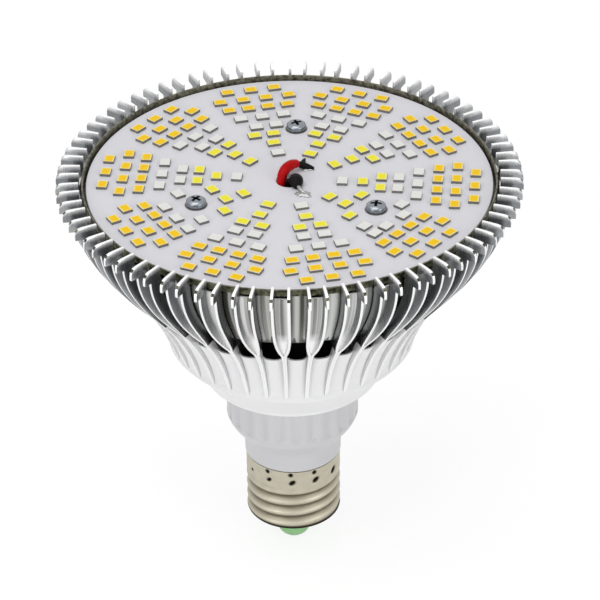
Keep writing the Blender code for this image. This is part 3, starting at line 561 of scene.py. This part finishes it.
def fin_back(z):
    """Radius of the fold's web on the bowl, and of the leg's back below the waist."""
    if z >= Z_SHOULDER:
        return R_CUP_RIM + GAP
    if z >= Z_WAIST:
        return cup_edge(z) + GAP
    share = (Z_WAIST - z) / (Z_WAIST - Z_FIN_FOOT)
    return fin_edge(z) - (DEPTH_WAIST + (DEPTH_FOOT - DEPTH_WAIST) * share) + GAP


def screw_place(index):
    """Where one of the three screws stands on the board."""
    angle = math.radians(FIRST_SCREW + 120 * index)
    return Vector((SCREW_CIRCLE * math.cos(angle), SCREW_CIRCLE * math.sin(angle), 0))


def copy_round(piece, name):
    """Forty copies, one at each pair of fins. The model itself is removed."""
    copies = []
    for index in range(PAIRS):
        turn = Matrix.Rotation(math.radians(FIRST_PAIR + 360 / PAIRS * index), 4, "Z")
        copies.append(turned_copy(piece, f"{name}_{index + 1:02d}", turn))
    bpy.data.objects.remove(piece)
    return copies


for z in (Z_SHOULDER, Z_WAIST, Z_FIN_FOOT):
    print("fins at", round(z / MM, 1), "mm: edge radius", round(fin_edge(z) / MM, 1), "mm")

# %% [markdown]
# One pair of fins is one folded sheet. A grid of three strips is added, and each of its rows becomes one station of
# the fold: outer edge, back, back, outer edge. The two fins keep their spacing down the bowl, close along a quarter of
# an ellipse, and go on as one leg. The web between them begins below the bowl's rim, so its upper faces are deleted.
# Solidify then gives the sheet its thickness, and its rim faces get the cut edge's finish. At the foot of the fold the
# web sweeps out to the edge: a small grid makes that bright ramp.

# %% The folded pair
HALF_SPREAD = math.radians(2.05)
CORNER = 1.8 * MM
Z_JOIN = Z_WAIST - 0.7 * MM
WEB_TOP = 115.1 * MM
RAMP = 10.0 * MM


def stations():
    """Heights and radii down the fold: (back height, back radius, edge height, edge radius)."""
    back = fin_back(Z_FIN_TOP) + SHEET / 2
    rows = []
    for degrees in (0, 30, 60, 90):
        angle = math.radians(degrees)
        rows.append((Z_FIN_TOP - 0.25 * MM * degrees / 30, back, Z_FIN_TOP - CORNER + CORNER * math.cos(angle),
                     R_BAND - CORNER + CORNER * math.sin(angle)))
    rows += [(116.0 * MM, back, 116.0 * MM, R_BAND), (Z_BAND + 0.05 * MM, back, Z_BAND, R_BAND)]
    heights = levels(Z_SHOULDER, Z_JOIN + CLOSING, 12)
    heights += [Z_JOIN + CLOSING * math.cos(math.pi / 2 * index / 10) for index in range(1, 11)]
    heights += levels(Z_JOIN, Z_FIN_FOOT + 0.1 * MM, 10)[1:]
    return rows + [(z, fin_back(z) + SHEET / 2, z, fin_edge(z)) for z in heights]


def half_spacing(z, radius):
    """Half of the way between the pair's two sheets."""
    below = min(max((Z_JOIN + CLOSING - z) / CLOSING, 0), 1)
    return max(radius * math.sin(HALF_SPREAD * math.sqrt(1 - below * below)), SHEET / 2 + 0.02 * MM)


def leg_scale(z):
    """How much narrower the pressed leg is than two sheets."""
    share = min(max((Z_JOIN - z) / (Z_JOIN - Z_FIN_FOOT), 0), 1)
    return 1 - 0.24 * min(share / 0.2, 1) - 0.14 * share


def high_web(face):
    middle = face.calc_center_median()
    return abs(middle.y) < 0.01 * MM and middle.z > WEB_TOP


rows = stations()
deselect()
bpy.ops.mesh.primitive_grid_add(x_subdivisions=3, y_subdivisions=len(rows) - 1, size=2)
pair = bpy.context.object
for vert in pair.data.vertices:
    column = round((vert.co.x + 1) / 2 * 3)
    back_z, back_r, edge_z, edge_r = rows[round((1 - vert.co.y) / 2 * (len(rows) - 1))]
    z, radius = (edge_z, edge_r) if column in (0, 3) else (back_z, back_r)
    side = -1 if column < 2 else 1
    vert.co = (radius, side * half_spacing(z, radius), z)
bpy.ops.object.mode_set(mode="EDIT")
select_where("faces", high_web)
bpy.ops.mesh.delete(type="FACE")
bpy.ops.object.mode_set(mode="OBJECT")
finished(pair, shaded_fin_face, cut_edge, lit_web_face, leg_side, rim_and_corner_reflection, fold_inside_lit)
modified(pair, "SOLIDIFY", thickness=SHEET, offset=0, material_offset_rim=1, use_even_offset=True)
bevelled(pair, 0.12 * MM, 2, 50)


def in_web(face):
    """The outward side of the web between the two fins."""
    return face.normal.x > 0.3 and abs(face.normal.y) < 0.3 and abs(face.center.y) < half_spacing(
        face.center.z, fin_edge(min(face.center.z, Z_SHOULDER))) - 0.2 * MM


# Faces inside a fold get the paler finish, painted as light.
paint(pair, 5, lambda face: face.material_index == 0 and face.normal.y * face.center.y < 0)
# The web's outward faces get the bright web finish: painted light.
paint(pair, 2, in_web)
paint(pair, 3, lambda face: face.center.z < Z_WAIST and abs(face.normal.y) > 0.5)
# The cut edge's facets at the outer top corner get the dark rim finish, a painted dark reflection.
paint(pair, 4, lambda face: face.material_index == 1 and face.normal.x > 0.45 and face.normal.z > 0.45)
for vert in pair.data.vertices:
    vert.co.y *= leg_scale(vert.co.z)
deselect()
bpy.ops.mesh.primitive_grid_add(x_subdivisions=1, y_subdivisions=12, size=2)
ramp = bpy.context.object
for vert in ramp.data.vertices:
    share = (1 - vert.co.y) / 2
    z = Z_JOIN + RAMP * (1 - share) + 0.2 * MM
    radius = fin_back(z) + SHEET + (fin_edge(z) - 0.35 * MM - fin_back(z) - SHEET) * share ** 2
    vert.co = (radius, math.copysign(half_spacing(z, radius) - 0.2 * MM, vert.co.x), z)
modified(ramp, "SOLIDIFY", thickness=0.4 * MM, offset=-1)
finished(ramp, lit_web_face)
pair = joined("pair", [pair, ramp])
smooth(pair, 40)
fins = copy_round(pair, "folded_fins")
for index, fin in enumerate(fins):
    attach(fin, "root")
    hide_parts(f"fin_pair_{index + 1:02d}")
print(len(fins), "pairs of", len(fins[0].data.polygons), "faces")

# %% [markdown]
# The bowl is turned from one closed outline: the rolled rim, the wall that follows the fins, and the plate that the
# board is screwed to. Its faces are then painted: the streaked wall in dark painted shade with a black foot, the dark
# rim with its paler top, and the inside in black painted shade.

# %% The bowl and its rim
WALL_TOP, WALL = 0.5 * MM, 1.5 * MM
RIM_BAND = 2.1 * MM
RIM_TOP = Z_CUP_RIM - 0.25 * MM
HOLE = 3.5 * MM
under = Z_PLATE - 2.5 * MM
wall_heights = levels(Z_SHOULDER, Z_CUP_FOOT, 10)
outline = around(R_CUP_RIM, RIM_TOP, (-0.4, 0), (-0.25, 0), (-0.07, -0.08), (0, -0.3))
outline += [(R_CUP_RIM, Z_CUP_RIM - RIM_BAND)]
outline += [(cup_edge(z) - 0.05 * MM, z) for z in wall_heights]
outline += [(cup_edge(z) - WALL, z) for z in reversed(wall_heights) if z < under - WALL]
outline += [(cup_edge(under) - WALL, under), (HOLE, under), (HOLE, Z_PLATE)]
outline += [(R_CUP_RIM - WALL_TOP, Z_PLATE), (R_CUP_RIM - WALL_TOP, RIM_TOP - 0.12 * MM)]
cup = turned("bowl_and_rim", outline, 200)
finished(cup, cup_face, rim_and_corner_reflection, painted_shade_inside, rim_inside)


def faces_in(face):
    """True for a face that looks towards the axis."""
    return face.normal.xy.dot(face.center.xy) < 0


paint(cup, 1, lambda face: face.center.z > Z_CUP_RIM - RIM_BAND - 0.05 * MM)
# The bowl's inside and the plate's underside get black painted shade.
paint(cup, 2, lambda face: face.center.z < Z_PLATE and (faces_in(face) or abs(face.normal.z) > 0.98))
paint(cup, 3, lambda face: face.center.z > Z_PLATE and (faces_in(face) or face.normal.z > 0.4))
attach(cup, "root")
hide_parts("heat_sink_cup")
print("bowl", len(cup.data.polygons), "faces")

# %% [markdown]
# The board is a disc with a fine chamfer and a hole for the leads.

# %% The board
CHAMFER = 0.15 * MM
outline = [(R_BOARD - CHAMFER, Z_BOARD_TOP), (R_BOARD, Z_BOARD_TOP - CHAMFER), (R_BOARD, Z_BOARD)]
outline += [(HOLE, Z_BOARD), (HOLE, Z_BOARD_TOP - CHAMFER), (HOLE + CHAMFER, Z_BOARD_TOP)]
board = turned("led_board_white", outline, 160)
finished(board, solder_mask)
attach(board, "root")
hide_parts("led_board")
print("board", len(board.data.polygons), "faces")

# %% [markdown]
# An LED package is a small block. It is added as a cube at its real size, 3.5 by 2.8 mm, and its top is inset three
# times: a thin white lip, a step down, and the paler edge round the phosphor. Ten sectors of twenty packages follow.
# Those that make room for a screw have places of their own, and each package is turned a little at random.

# %% The LED packages
LED_LENGTH, LED_WIDTH, LED_HEIGHT = 3.5 * MM, 2.8 * MM, 0.75 * MM
LED_INSETS = ((0.06, 0), (0.12, -0.05), (0.30, 0))
LIP_REACH, EDGE_REACH = 0.14 * MM, 0.4 * MM
FIRST_SECTOR = 30.3
# Each row of a sector: distance from the axis, number of packages, their pitch and their tint.
LED_ROWS = [
    (48.7, 3, 6.57, "orange"), (43.8, 4, 6.40, "orange"), (38.9, 4, 5.40, "orange"), (33.7, 3, 5.93, "white"),
    (28.6, 2, 5.48, "white"), (24.1, 2, 5.48, "yellow"), (19.3, 1, 0.0, "yellow"), (13.9, 1, 0.0, "yellow"),
]
# Packages with places of their own: (sector, row) and each one's distance from the axis and its place aside.
LED_MOVED = {
    (2, 5): [(24.1, -1.0), (24.1, 4.2)],
    (5, 3): [(34.7, -4.9), (34.7, 1.5), (34.7, 7.6)],
    (5, 4): [(28.6, -8.8), (29.6, 5.5)],
    (5, 5): [(19.9, -6.0), (22.4, 4.9)],
    (8, 3): [(34.3, -6.1), (34.3, -1.6), (34.3, 5.4)],
    (8, 4): [(30.1, -5.2), (30.7, 9.1)],
    (8, 5): [(23.9, -3.7), (19.7, 6.0)],
}
WHITE_CENTRES = (2, 4, 7, 9)


def led_package(tint):
    deselect()
    bpy.ops.mesh.primitive_cube_add(size=1, scale=(LED_WIDTH, LED_LENGTH, LED_HEIGHT))
    package = rest_origin(bpy.context.object)
    finished(package, dark_part_and_shade, led_body, phosphor_edge[tint], phosphor[tint])
    bpy.ops.object.mode_set(mode="EDIT")
    select_where("faces", lambda face: face.normal.z > 0.9)
    for width, depth in LED_INSETS:
        bpy.ops.mesh.inset(thickness=width * MM, depth=depth * MM)
    bpy.ops.object.mode_set(mode="OBJECT")
    for face in package.data.polygons:
        reach = max(abs(face.center.x) - LED_WIDTH / 2, abs(face.center.y) - LED_LENGTH / 2)
        if face.normal.z > 0.5:
            face.material_index = 1 if reach > -LIP_REACH else 2 if reach > -EDGE_REACH else 3
    bevelled(package, 0.1 * MM, 1, 60)
    return package


models = {tint: led_package(tint) for tint in PHOSPHORS}
placed = {tint: [] for tint in PHOSPHORS}
chance = random.Random(7)
for sector in range(10):
    turn = math.radians(FIRST_SECTOR + 36 * sector)
    for row, (away, count, pitch, tint) in enumerate(LED_ROWS):
        if row == len(LED_ROWS) - 1 and sector in WHITE_CENTRES:
            tint = "white"
        spots = [(away, (index - (count - 1) / 2) * pitch) for index in range(count)]
        for out, aside in LED_MOVED.get((sector, row), spots):
            place = Matrix.Rotation(turn, 4, "Z") @ Vector((out * MM, aside * MM, Z_BOARD_TOP + LED_HEIGHT / 2))
            slant = Matrix.Rotation(turn + math.radians(chance.uniform(-2, 2)), 4, "Z")
            placed[tint].append(turned_copy(models[tint], "package", Matrix.Translation(place) @ slant))
for tint, packages in placed.items():
    leds = joined("leds_" + tint, packages)
    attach(leds, "root")
    print(tint, len(packages), "LEDs")
for model in models.values():
    bpy.data.objects.remove(model)

# %% [markdown]
# Two solder mounds hold the ends of the leads. Each starts as a sphere that is flattened and pushed out of round. A
# small brown part sits alone near the board's edge.

# %% Solder and the lone part
def mound(name, centre, size, seed):
    """A drop of solder with a wavy outline."""
    deselect()
    bpy.ops.mesh.primitive_uv_sphere_add(segments=32, ring_count=16, radius=1)
    blob = bpy.context.object
    blob.name = name
    wobble = random.Random(seed)
    waves = [(wobble.uniform(0, 6.28), wobble.uniform(0.04, 0.14)) for _ in range(4)]
    for vert in blob.data.vertices:
        angle = math.atan2(vert.co.y, vert.co.x)
        swell = 1 + sum(depth * math.sin((index + 2) * angle + phase) for index, (phase, depth) in enumerate(waves))
        vert.co = (vert.co.x * swell * size[0], vert.co.y * swell * size[1], vert.co.z * size[2])
    blob.data.transform(Matrix.Translation((centre[0], centre[1], Z_BOARD_TOP)))
    bpy.ops.object.shade_smooth()
    finished(blob, solder)
    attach(blob, "root")


mound("solder_red_end", (4.9 * MM, 5.4 * MM), (1.6 * MM, 1.0 * MM, 0.55 * MM), 3)
mound("solder_black_end", (3.6 * MM, -7.4 * MM), (2.2 * MM, 1.3 * MM, 0.7 * MM), 5)
deselect()
bpy.ops.mesh.primitive_cube_add(size=1, location=(26.6 * MM, 36.4 * MM, Z_BOARD_TOP + 0.3 * MM),
                                scale=(1.6 * MM, 0.8 * MM, 0.6 * MM))
chip = rest_origin(bpy.context.object)
chip.name = "lone_part"
bevelled(chip, 0.1 * MM, 2)
finished(chip, dark_part_and_shade)
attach(chip, "root")
print("two mounds and", chip.name)

# %% [markdown]
# A pan-head screw is turned from its outline, and a cross is cut into its head with a Boolean. The cross cutter is two
# crossed blocks. The faces of the cross are painted black as shade, and each screw sits over a dark ring of painted
# shadow.

# %% The board screws
HEAD, HEAD_HEIGHT, SHANK = 2.6 * MM, 1.8 * MM, 1.4 * MM
CROSS, FIRST_CROSS = (2.9 * MM, 0.8 * MM, 1.9 * MM), 20
SHADOW_RING_HOLE, SHADOW_RING_EDGE, SHADOW_RING_TOP = 1.5 * MM, 3.0 * MM, Z_BOARD_TOP + 0.05 * MM
seat = Z_BOARD_TOP + GAP
head_top = seat + HEAD_HEIGHT
outline = [(0, head_top)]
for degrees in (15, 30, 45, 60, 75, 90):
    angle = math.radians(degrees)
    outline.append((HEAD * math.sin(angle), head_top - 0.9 * MM * (1 - math.cos(angle))))
outline += [(HEAD, seat + 0.1 * MM), (HEAD - 0.1 * MM, seat), (SHANK, seat), (SHANK, Z_PLATE), (0, Z_PLATE)]
for index in range(3):
    centre = screw_place(index)
    screw = turned(f"cross_screw_{index + 1}", outline, 40, closed=False)
    arms = []
    for quarter in (0, 90):
        deselect()
        bpy.ops.mesh.primitive_cube_add(size=1, location=(0, 0, head_top), scale=CROSS,
                                        rotation=(0, 0, math.radians(quarter + FIRST_CROSS + 31 * index)))
        arms.append(rest_origin(bpy.context.object))
    for arm in arms:
        modified(screw, "BOOLEAN", operation="DIFFERENCE", object=arm)
        bpy.data.objects.remove(arm)
    screw.data.transform(Matrix.Translation(centre))
    finished(screw, steel, black_sleeve)
    # The cross's faces get the black finish: painted shade.
    paint(screw, 1, lambda face: (face.center.xy - centre.xy).length < SHADOW_RING_HOLE
          and seat + 0.1 * MM < face.center.z < head_top - 0.5 * MM)
    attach(screw, "root")
    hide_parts(f"board_screw_{index + 1}")
    # A dark ring of painted shadow round the screw.
    ring = turned(f"painted_shadow_ring_{index + 1}", [(SHADOW_RING_HOLE, Z_BOARD_TOP), (SHADOW_RING_HOLE, SHADOW_RING_TOP), (SHADOW_RING_EDGE, SHADOW_RING_TOP),
                                            (SHADOW_RING_EDGE, Z_BOARD_TOP)], 40)
    ring.data.transform(Matrix.Translation(centre))
    finished(ring, dark_part_and_shade)
    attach(ring, "root")
print("three screws")

# %% [markdown]
# The two leads come up through the board's hole. Each is a curve through a few points with a round bevel, made a mesh
# at the end. The red one arches over to its dark end and its solder. The black one is short and thick, with a bare
# tail. Points and radii are in millimetres.

# %% The leads
def lead(name, points, radii, finish, slot, *nodes):
    """A round wire through the points, with a radius at each of them."""
    data = bpy.data.curves.new(name, "CURVE")
    data.dimensions = "3D"
    data.bevel_depth = 1.0
    data.bevel_resolution = 5
    data.use_fill_caps = True
    data.resolution_u = 8
    spline = data.splines.new("BEZIER")
    spline.bezier_points.add(len(points) - 1)
    for knot, place, radius in zip(spline.bezier_points, points, radii):
        knot.co = Vector(place) * MM
        knot.radius = radius * MM
        knot.handle_left_type = knot.handle_right_type = "AUTO"
    wire = linked(name, data)
    pick(wire)
    bpy.ops.object.convert(target="MESH")
    smooth(wire, 50)
    finished(wire, finish)
    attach(wire, "root")
    if nodes:
        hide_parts(*nodes)


lead("red_sleeve_lead", [(-1.7, 0, 77), (-1.8, 0, 110), (-2.1, -0.3, 116.4), (-1.4, 1.2, 117.9), (0.3, 3.6, 118.3),
                         (1.9, 5.3, 117.8)], [0.9, 0.9, 1.25, 1.4, 1.4, 1.15], red_sleeve, "red_sleeve", "red_lead")
lead("red_lead_end", [(1.4, 4.9, 118.0), (3.2, 5.6, 117.2), (4.8, 5.6, 116.6), (6.5, 5.2, 116.3)],
     [0.65, 0.95, 0.85, 0.4], black_sleeve, "tinned_wire")
lead("red_lead_spur", [(3.4, 5.4, 116.9), (3.7, 7.4, 117.0), (4.1, 9.6, 116.5)], [0.65, 0.62, 0.35], black_sleeve,
     "tinned_wire")
lead("black_sleeve_lead", [(1.6, 0, 77), (1.6, 0, 110), (1.6, -0.6, 115.2), (1.7, -1.9, 116.9), (1.8, -3.2, 117.1),
                           (2.1, -4.8, 116.6)], [1.0, 1.2, 1.6, 1.95, 1.8, 0.9], black_sleeve, "black_sleeve",
     "black_lead")
lead("black_lead_end", [(1.9, -4.2, 116.9), (2.6, -5.5, 116.7), (3.3, -6.6, 116.4), (5.2, -7.9, 116.0)],
     [0.5, 0.5, 0.45, 0.3], solder, "tinned_wire")
print("leads are in")

# %% [markdown]
# The lower shell is one white moulding: the skirt that the fins' legs lie in, a thin rim and the cone. Its outline is
# turned, and its panels are made like pillows: beside each leg the points move in, most at the skirt's top and not at
# all at the foot. Forty thin blocks, one for each leg, then cut the slots with one Boolean. The skirt's wall is thin at
# the top, where only a bright lip shows against the inside, whose faces are painted black as shade. The three posts
# under the board's screws stand inside, painted black as shade too.

# %% The lower shell
SKIRT_INSET, SKIRT_WALL = 0.6 * MM, 1.8 * MM
PANEL_STEPS, PANEL_DEPTH, PANEL_FOOT = 16, 2.3 * MM, Z_FIN_FOOT + 1 * MM
SPIGOT = 16.6 * MM
SLOT_LOW, SLOT_HIGH = Z_FIN_FOOT + 0.07 * MM, Z_SKIRT_TOP + 1 * MM
POST_RADIUS, POST_LENGTH, POST_MIDDLE = 3.6 * MM, 41 * MM, 89.8 * MM
SHADE_LOW = 71 * MM
skirt_heights = levels(Z_SKIRT_TOP - 0.25 * MM, Z_FIN_FOOT, 8)


def skirt_edge(z):
    return fin_edge(z) - SKIRT_INSET


lip = skirt_edge(Z_SKIRT_TOP)
outline = [(lip - 0.25 * MM, Z_SKIRT_TOP)] + [(skirt_edge(z), z) for z in skirt_heights[:-1]]
outline += around(skirt_edge(Z_FIN_FOOT), Z_FIN_FOOT, (0.34, 0.7))
outline += around(R_FOOT, Z_FIN_FOOT, (-0.1, -0.02), (0, -0.2))
outline += around(R_FOOT, Z_RIM, (0, 0.15), (-0.15, 0), (-1.0, -0.05), (-1.0, -1.1), (-1.2, -1.3), (-2.2, -1.25))
outline += around(R_CONE_FOOT, Z_CONE, (0.4, 1.3), (0.15, 1.0), (0.15, 0.25), (-0.1, 0))
outline += around(SPIGOT, Z_CONE, (0, 0), (0, 2.4)) + around(R_CONE_FOOT, Z_CONE, (-1.5, 2.4))
outline += [(R_FOOT - 1.3 * SKIRT_WALL, Z_RIM + 0.8 * SKIRT_WALL)]
outline += [(skirt_edge(z) - SKIRT_WALL, z) for z in reversed(skirt_heights[2:])]
outline += around(lip, Z_SKIRT_TOP, (-1.6, -2.2), (-0.75, 0))
shell = turned("white_lower_shell", outline, PAIRS * PANEL_STEPS)
for vert in shell.data.vertices:
    share = (vert.co.z - PANEL_FOOT) / (Z_SKIRT_TOP - PANEL_FOOT)
    if share > 0 and vert.co.xy.length > skirt_edge(vert.co.z) - SKIRT_WALL - 0.1 * MM:
        across = (math.degrees(math.atan2(vert.co.y, vert.co.x)) - FIRST_PAIR) % 9 / 4.5 - 1
        moved_in(vert, PANEL_DEPTH * share ** 0.8 * abs(across) ** 3)

deselect()
bpy.ops.mesh.primitive_cube_add(size=2)
block = bpy.context.object
bpy.ops.object.mode_set(mode="EDIT")
select_where("edges", lambda edge: abs(edge.verts[0].co.z - edge.verts[1].co.z) > 1)
bpy.ops.mesh.subdivide(number_cuts=7)
bpy.ops.object.mode_set(mode="OBJECT")
for vert in block.data.vertices:
    z = SLOT_LOW + (SLOT_HIGH - SLOT_LOW) * (vert.co.z + 1) / 2
    radius = fin_edge(z) + 1 * MM if vert.co.x > 0 else fin_back(z) - GAP
    vert.co = (radius, math.copysign((SHEET + 0.05 * MM) * leg_scale(z), vert.co.y), z)
cutter = joined("slot_blocks", copy_round(block, "slot_block"))
modified(shell, "BOOLEAN", operation="DIFFERENCE", object=cutter)
bpy.data.objects.remove(cutter)
finished(shell, white_plastic, painted_shade_inside)
# Faces that look inwards, deep in the skirt, get black painted shade.
paint(shell, 1, lambda face: face.normal.xy.dot(face.center.xy) < -0.2 * face.center.xy.length
      and face.center.xy.length < skirt_edge(max(face.center.z, Z_FIN_FOOT)) - 0.7 * MM and face.center.z > SHADE_LOW)
smooth(shell, 30)
# The three posts get black painted shade too.
for index in range(3):
    deselect()
    bpy.ops.mesh.primitive_cylinder_add(vertices=32, radius=POST_RADIUS, depth=POST_LENGTH,
                                        location=screw_place(index) + Vector((0, 0, POST_MIDDLE)))
    post = rest_origin(bpy.context.object)
    post.name = f"inner_post_{index + 1}"
    bevelled(post, 0.3 * MM)
    finished(post, painted_shade_inside)
    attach(post, "root")
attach(shell, "root")
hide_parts("lower_shell")
print("shell", len(shell.data.polygons), "faces")

# %% [markdown]
# The base housing has a ribbed collar: 24 shallow flutes, counted in the photograph by their even 15 degrees. The
# outline is turned with rows where the flutes run, and each point there moves inwards by a raised cosine of its angle.

# %% The ribbed base housing
FLUTES, FLUTE_DEPTH, FIRST_FLUTE = 24, 0.85 * MM, -87.0
UPPER_SPIGOT, UPPER_BORE, LOWER_SPIGOT, LOWER_BORE = 16.3 * MM, 14.8 * MM, 12.35 * MM, 10.8 * MM
collar_low, collar_high = Z_COLLAR + 0.3 * MM, Z_COLLAR_TOP - 0.6 * MM
outline = around(UPPER_SPIGOT, Z_COLLAR_TOP, (0, 5), (0, 0))
outline += around(R_COLLAR, Z_COLLAR_TOP, (-0.5, 0), (-0.15, -0.15), (0, -0.45))
outline += [(R_COLLAR, z) for z in levels(collar_high, collar_low, 16)]
outline += around(R_COLLAR, Z_COLLAR, (0, 0.2), (-0.2, 0))
for step in range(1, 13):
    share = step / 12
    radius = eased(share, R_COLLAR - 0.2 * MM, R_NECK, -0.1, -0.1, Z_COLLAR - Z_STEP)
    outline.append((radius, Z_COLLAR - (Z_COLLAR - Z_STEP) * share))
outline += around(R_NECK, Z_CAP_TOP, (0, 0.5), (-0.2, 0.3)) + around(LOWER_SPIGOT, Z_CAP_TOP, (0, 0.3), (0, -4.7))
outline += [(LOWER_BORE, Z_CAP_TOP - 4.7 * MM), (LOWER_BORE, Z_STEP + 2.4 * MM)]
outline += [(UPPER_BORE, Z_COLLAR), (UPPER_BORE, Z_COLLAR_TOP + 5 * MM)]
housing = turned("ribbed_base_housing", outline, FLUTES * 12)
for vert in housing.data.vertices:
    if vert.co.xy.length > R_COLLAR - 0.01 * MM and collar_low - 0.01 * MM < vert.co.z < collar_high + 0.01 * MM:
        angle = math.degrees(math.atan2(vert.co.y, vert.co.x))
        wave = (1 + math.cos(math.radians(FLUTES * (angle - FIRST_FLUTE)))) / 2
        ends = min((vert.co.z - collar_low) / (0.9 * MM), (collar_high - vert.co.z) / (1.2 * MM), 1)
        moved_in(vert, FLUTE_DEPTH * wave ** 1.5 * math.sqrt(max(ends, 0)))
smooth(housing, 28)
finished(housing, base_plastic)
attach(housing, "root")
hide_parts("base_housing")
print("housing", len(housing.data.polygons), "faces")

# %% [markdown]
# The screw cap is rolled sheet. A dense tube is added, and each of its points moves in or out by a formula: a cosine
# that winds round the tube is the thread, small hollows are the punch marks that hold the sheet on the neck, and the
# lower edge curls in. The same numbers are kept as two attributes, which darken the plating there as painted shade.

# %% The screw shell
PITCH, THREAD_DEPTH, THREAD_START = 3.63 * MM, 1.0 * MM, 6.5 * MM
CAP_SIDES, CAP_ROWS, CAP_SHEET = 240, 150, 0.35 * MM
# Each punch mark: angle in degrees, then place below the cap's top, size and depth in mm, and how much it leans.
UPPER_MARKS = [(-93.5 + 30 * index, 1.0, 0.66, 0.35, 0.0) for index in (-1, 0, 1, 5, 6, 7)]
LOWER_SIZES = (0.85, 0.9, 1.0, 0.6, 0.5, 0.7) * 2
LOWER_MARKS = [(-91.5 + 30 * index, 3.65, size, 0.45, 0.4) for index, size in enumerate(LOWER_SIZES)]


def fade(value, low, high):
    """Goes softly from 0 to 1 between two values."""
    share = min(max((value - low) / (high - low), 0), 1)
    return share * share * (3 - 2 * share)


def cap_point(angle, z):
    """Radius of the sheet, and the painted shade there from the thread's groove and from the punch marks and lip."""
    down, up = Z_CAP_TOP - z, z - Z_CAP_FOOT
    turns = (down - THREAD_START) / PITCH + angle / (2 * math.pi)
    runs = fade(down, THREAD_START - 0.3 * PITCH, THREAD_START + 0.6 * PITCH) * fade(up, 0.6 * MM, 2.4 * MM)
    wave = runs * (1 - math.cos(2 * math.pi * (turns + 0.1))) / 2
    sunk, mark = 0, 0
    for degrees, middle, size, depth, lean in UPPER_MARKS + LOWER_MARKS:
        away = (angle - math.radians(degrees) + math.pi) % (2 * math.pi) - math.pi
        along = down / MM - middle
        across = away * R_CAP / MM + lean * along
        dent = math.exp(-(across / size) ** 2 - (along / size) ** 2)
        sunk, mark = sunk + depth * dent, mark + dent
    curl = 1.4 * MM * (1 - math.sqrt(1 - (1 - min(up / (0.9 * MM), 1)) ** 2))
    radius = R_CAP - THREAD_DEPTH * wave - sunk * MM - curl
    # The curled lower lip is painted black as shade.
    lip_shade = 0.9 - fade(up, 0.9 * MM, 1.6 * MM)
    return radius, max(wave ** 1.3, 1.5 - 1.5 * fade(up, 0.8 * MM, 1.8 * MM)), max(fade(mark, 0.15, 0.55), lip_shade)


deselect()
bpy.ops.mesh.primitive_cylinder_add(vertices=CAP_SIDES, radius=R_CAP, depth=Z_CAP_TOP - Z_CAP_FOOT,
                                    location=(0, 0, (Z_CAP_TOP + Z_CAP_FOOT) / 2), end_fill_type="NOTHING")
cap = rest_origin(bpy.context.object)
cap.name = "threaded_screw_shell"
bpy.ops.object.mode_set(mode="EDIT")
select_where("edges", lambda edge: abs(edge.verts[0].co.z - edge.verts[1].co.z) > 1 * MM)
bpy.ops.mesh.subdivide(number_cuts=CAP_ROWS)
bpy.ops.object.mode_set(mode="OBJECT")
groove_shades = cap.data.attributes.new("groove_shade", "FLOAT", "POINT")
mark_shades = cap.data.attributes.new("mark", "FLOAT", "POINT")
for vert in cap.data.vertices:
    angle = math.atan2(vert.co.y, vert.co.x)
    radius, groove_shade_here, mark_shade_here = cap_point(angle, vert.co.z)
    groove_shades.data[vert.index].value = groove_shade_here
    mark_shades.data[vert.index].value = mark_shade_here
    vert.co = (radius * math.cos(angle), radius * math.sin(angle), vert.co.z)
modified(cap, "SOLIDIFY", thickness=CAP_SHEET, offset=-1)
smooth(cap, 50)
finished(cap, nickel)
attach(cap, "root")
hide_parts("screw_shell")
print("cap", len(cap.data.polygons), "faces")

# %% [markdown]
# The insulator steps down from the shell's mouth to a small tip, and the contact is a rivet in its middle.

# %% Insulator and contact
outline = around(
    0, 0, (11.9, 12.0), (11.9, 10.75), (11.35, 10.6), (11.35, 9.5), (11.0, 9.2), (9.4, 8.6), (7.2, 7.8), (5.8, 7.2),
    (4.9, 6.5), (4.5, 5.8), (4.45, 2.6), (4.3, 1.7), (3.9, 1.1), (3.2, 0.9), (1.4, 0.9), (1.4, 12.0))
insulator = turned("green_cap_insulator", outline, 96, degrees=45)
finished(insulator, green_plastic)
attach(insulator, "root")
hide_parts("cap_insulator")
outline = around(0, 0, (0, 12.3), (1.1, 12.3), (1.1, 0.62), (2.7, 0.6), (3.0, 0.45), (2.9, 0.2), (2.4, 0), (0, 0))
contact = turned("contact_rivet", outline, 64, closed=False, degrees=45)
finished(contact, solder)
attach(contact, "root")
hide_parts("centre_contact")
print("insulator and contact,", len(insulator.data.polygons) + len(contact.data.polygons), "faces")

# %% [markdown]
# What stays of the frame's own solids is inside: the pad, the driver and its leads. They get finishes of their
# own, and those of the pad and the driver are painted dark as shade, dark enough to vanish in the body's shadow as
# they do in the photograph.

# %% Inside
# The laminate's green and the pad's grey are darkened as painted shade.
shaded_laminate = mottled("circuit_laminate", (0.6 * MM,), (0.006, 0.03, 0.010), (0.012, 0.05, 0.018), Roughness=0.5)
shaded_pad = mottled("grey_pad", (1.0 * MM,), (0.10, 0.10, 0.11), (0.20, 0.20, 0.21), Roughness=0.8)
INSIDE = {
    "thermal_pad": shaded_pad, "driver_board": shaded_laminate, "driver_capacitor": painted_shade_inside, "driver_inductor": painted_shade_inside,
    "film_capacitor": painted_shade_inside, "bridge_rectifier": painted_shade_inside, "live_lead": solder, "neutral_lead": solder,
}
for node, finish in INSIDE.items():
    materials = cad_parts[node].data.materials
    materials.clear()
    materials.append(finish.material)
print(len(INSIDE), "inner solids have finishes")
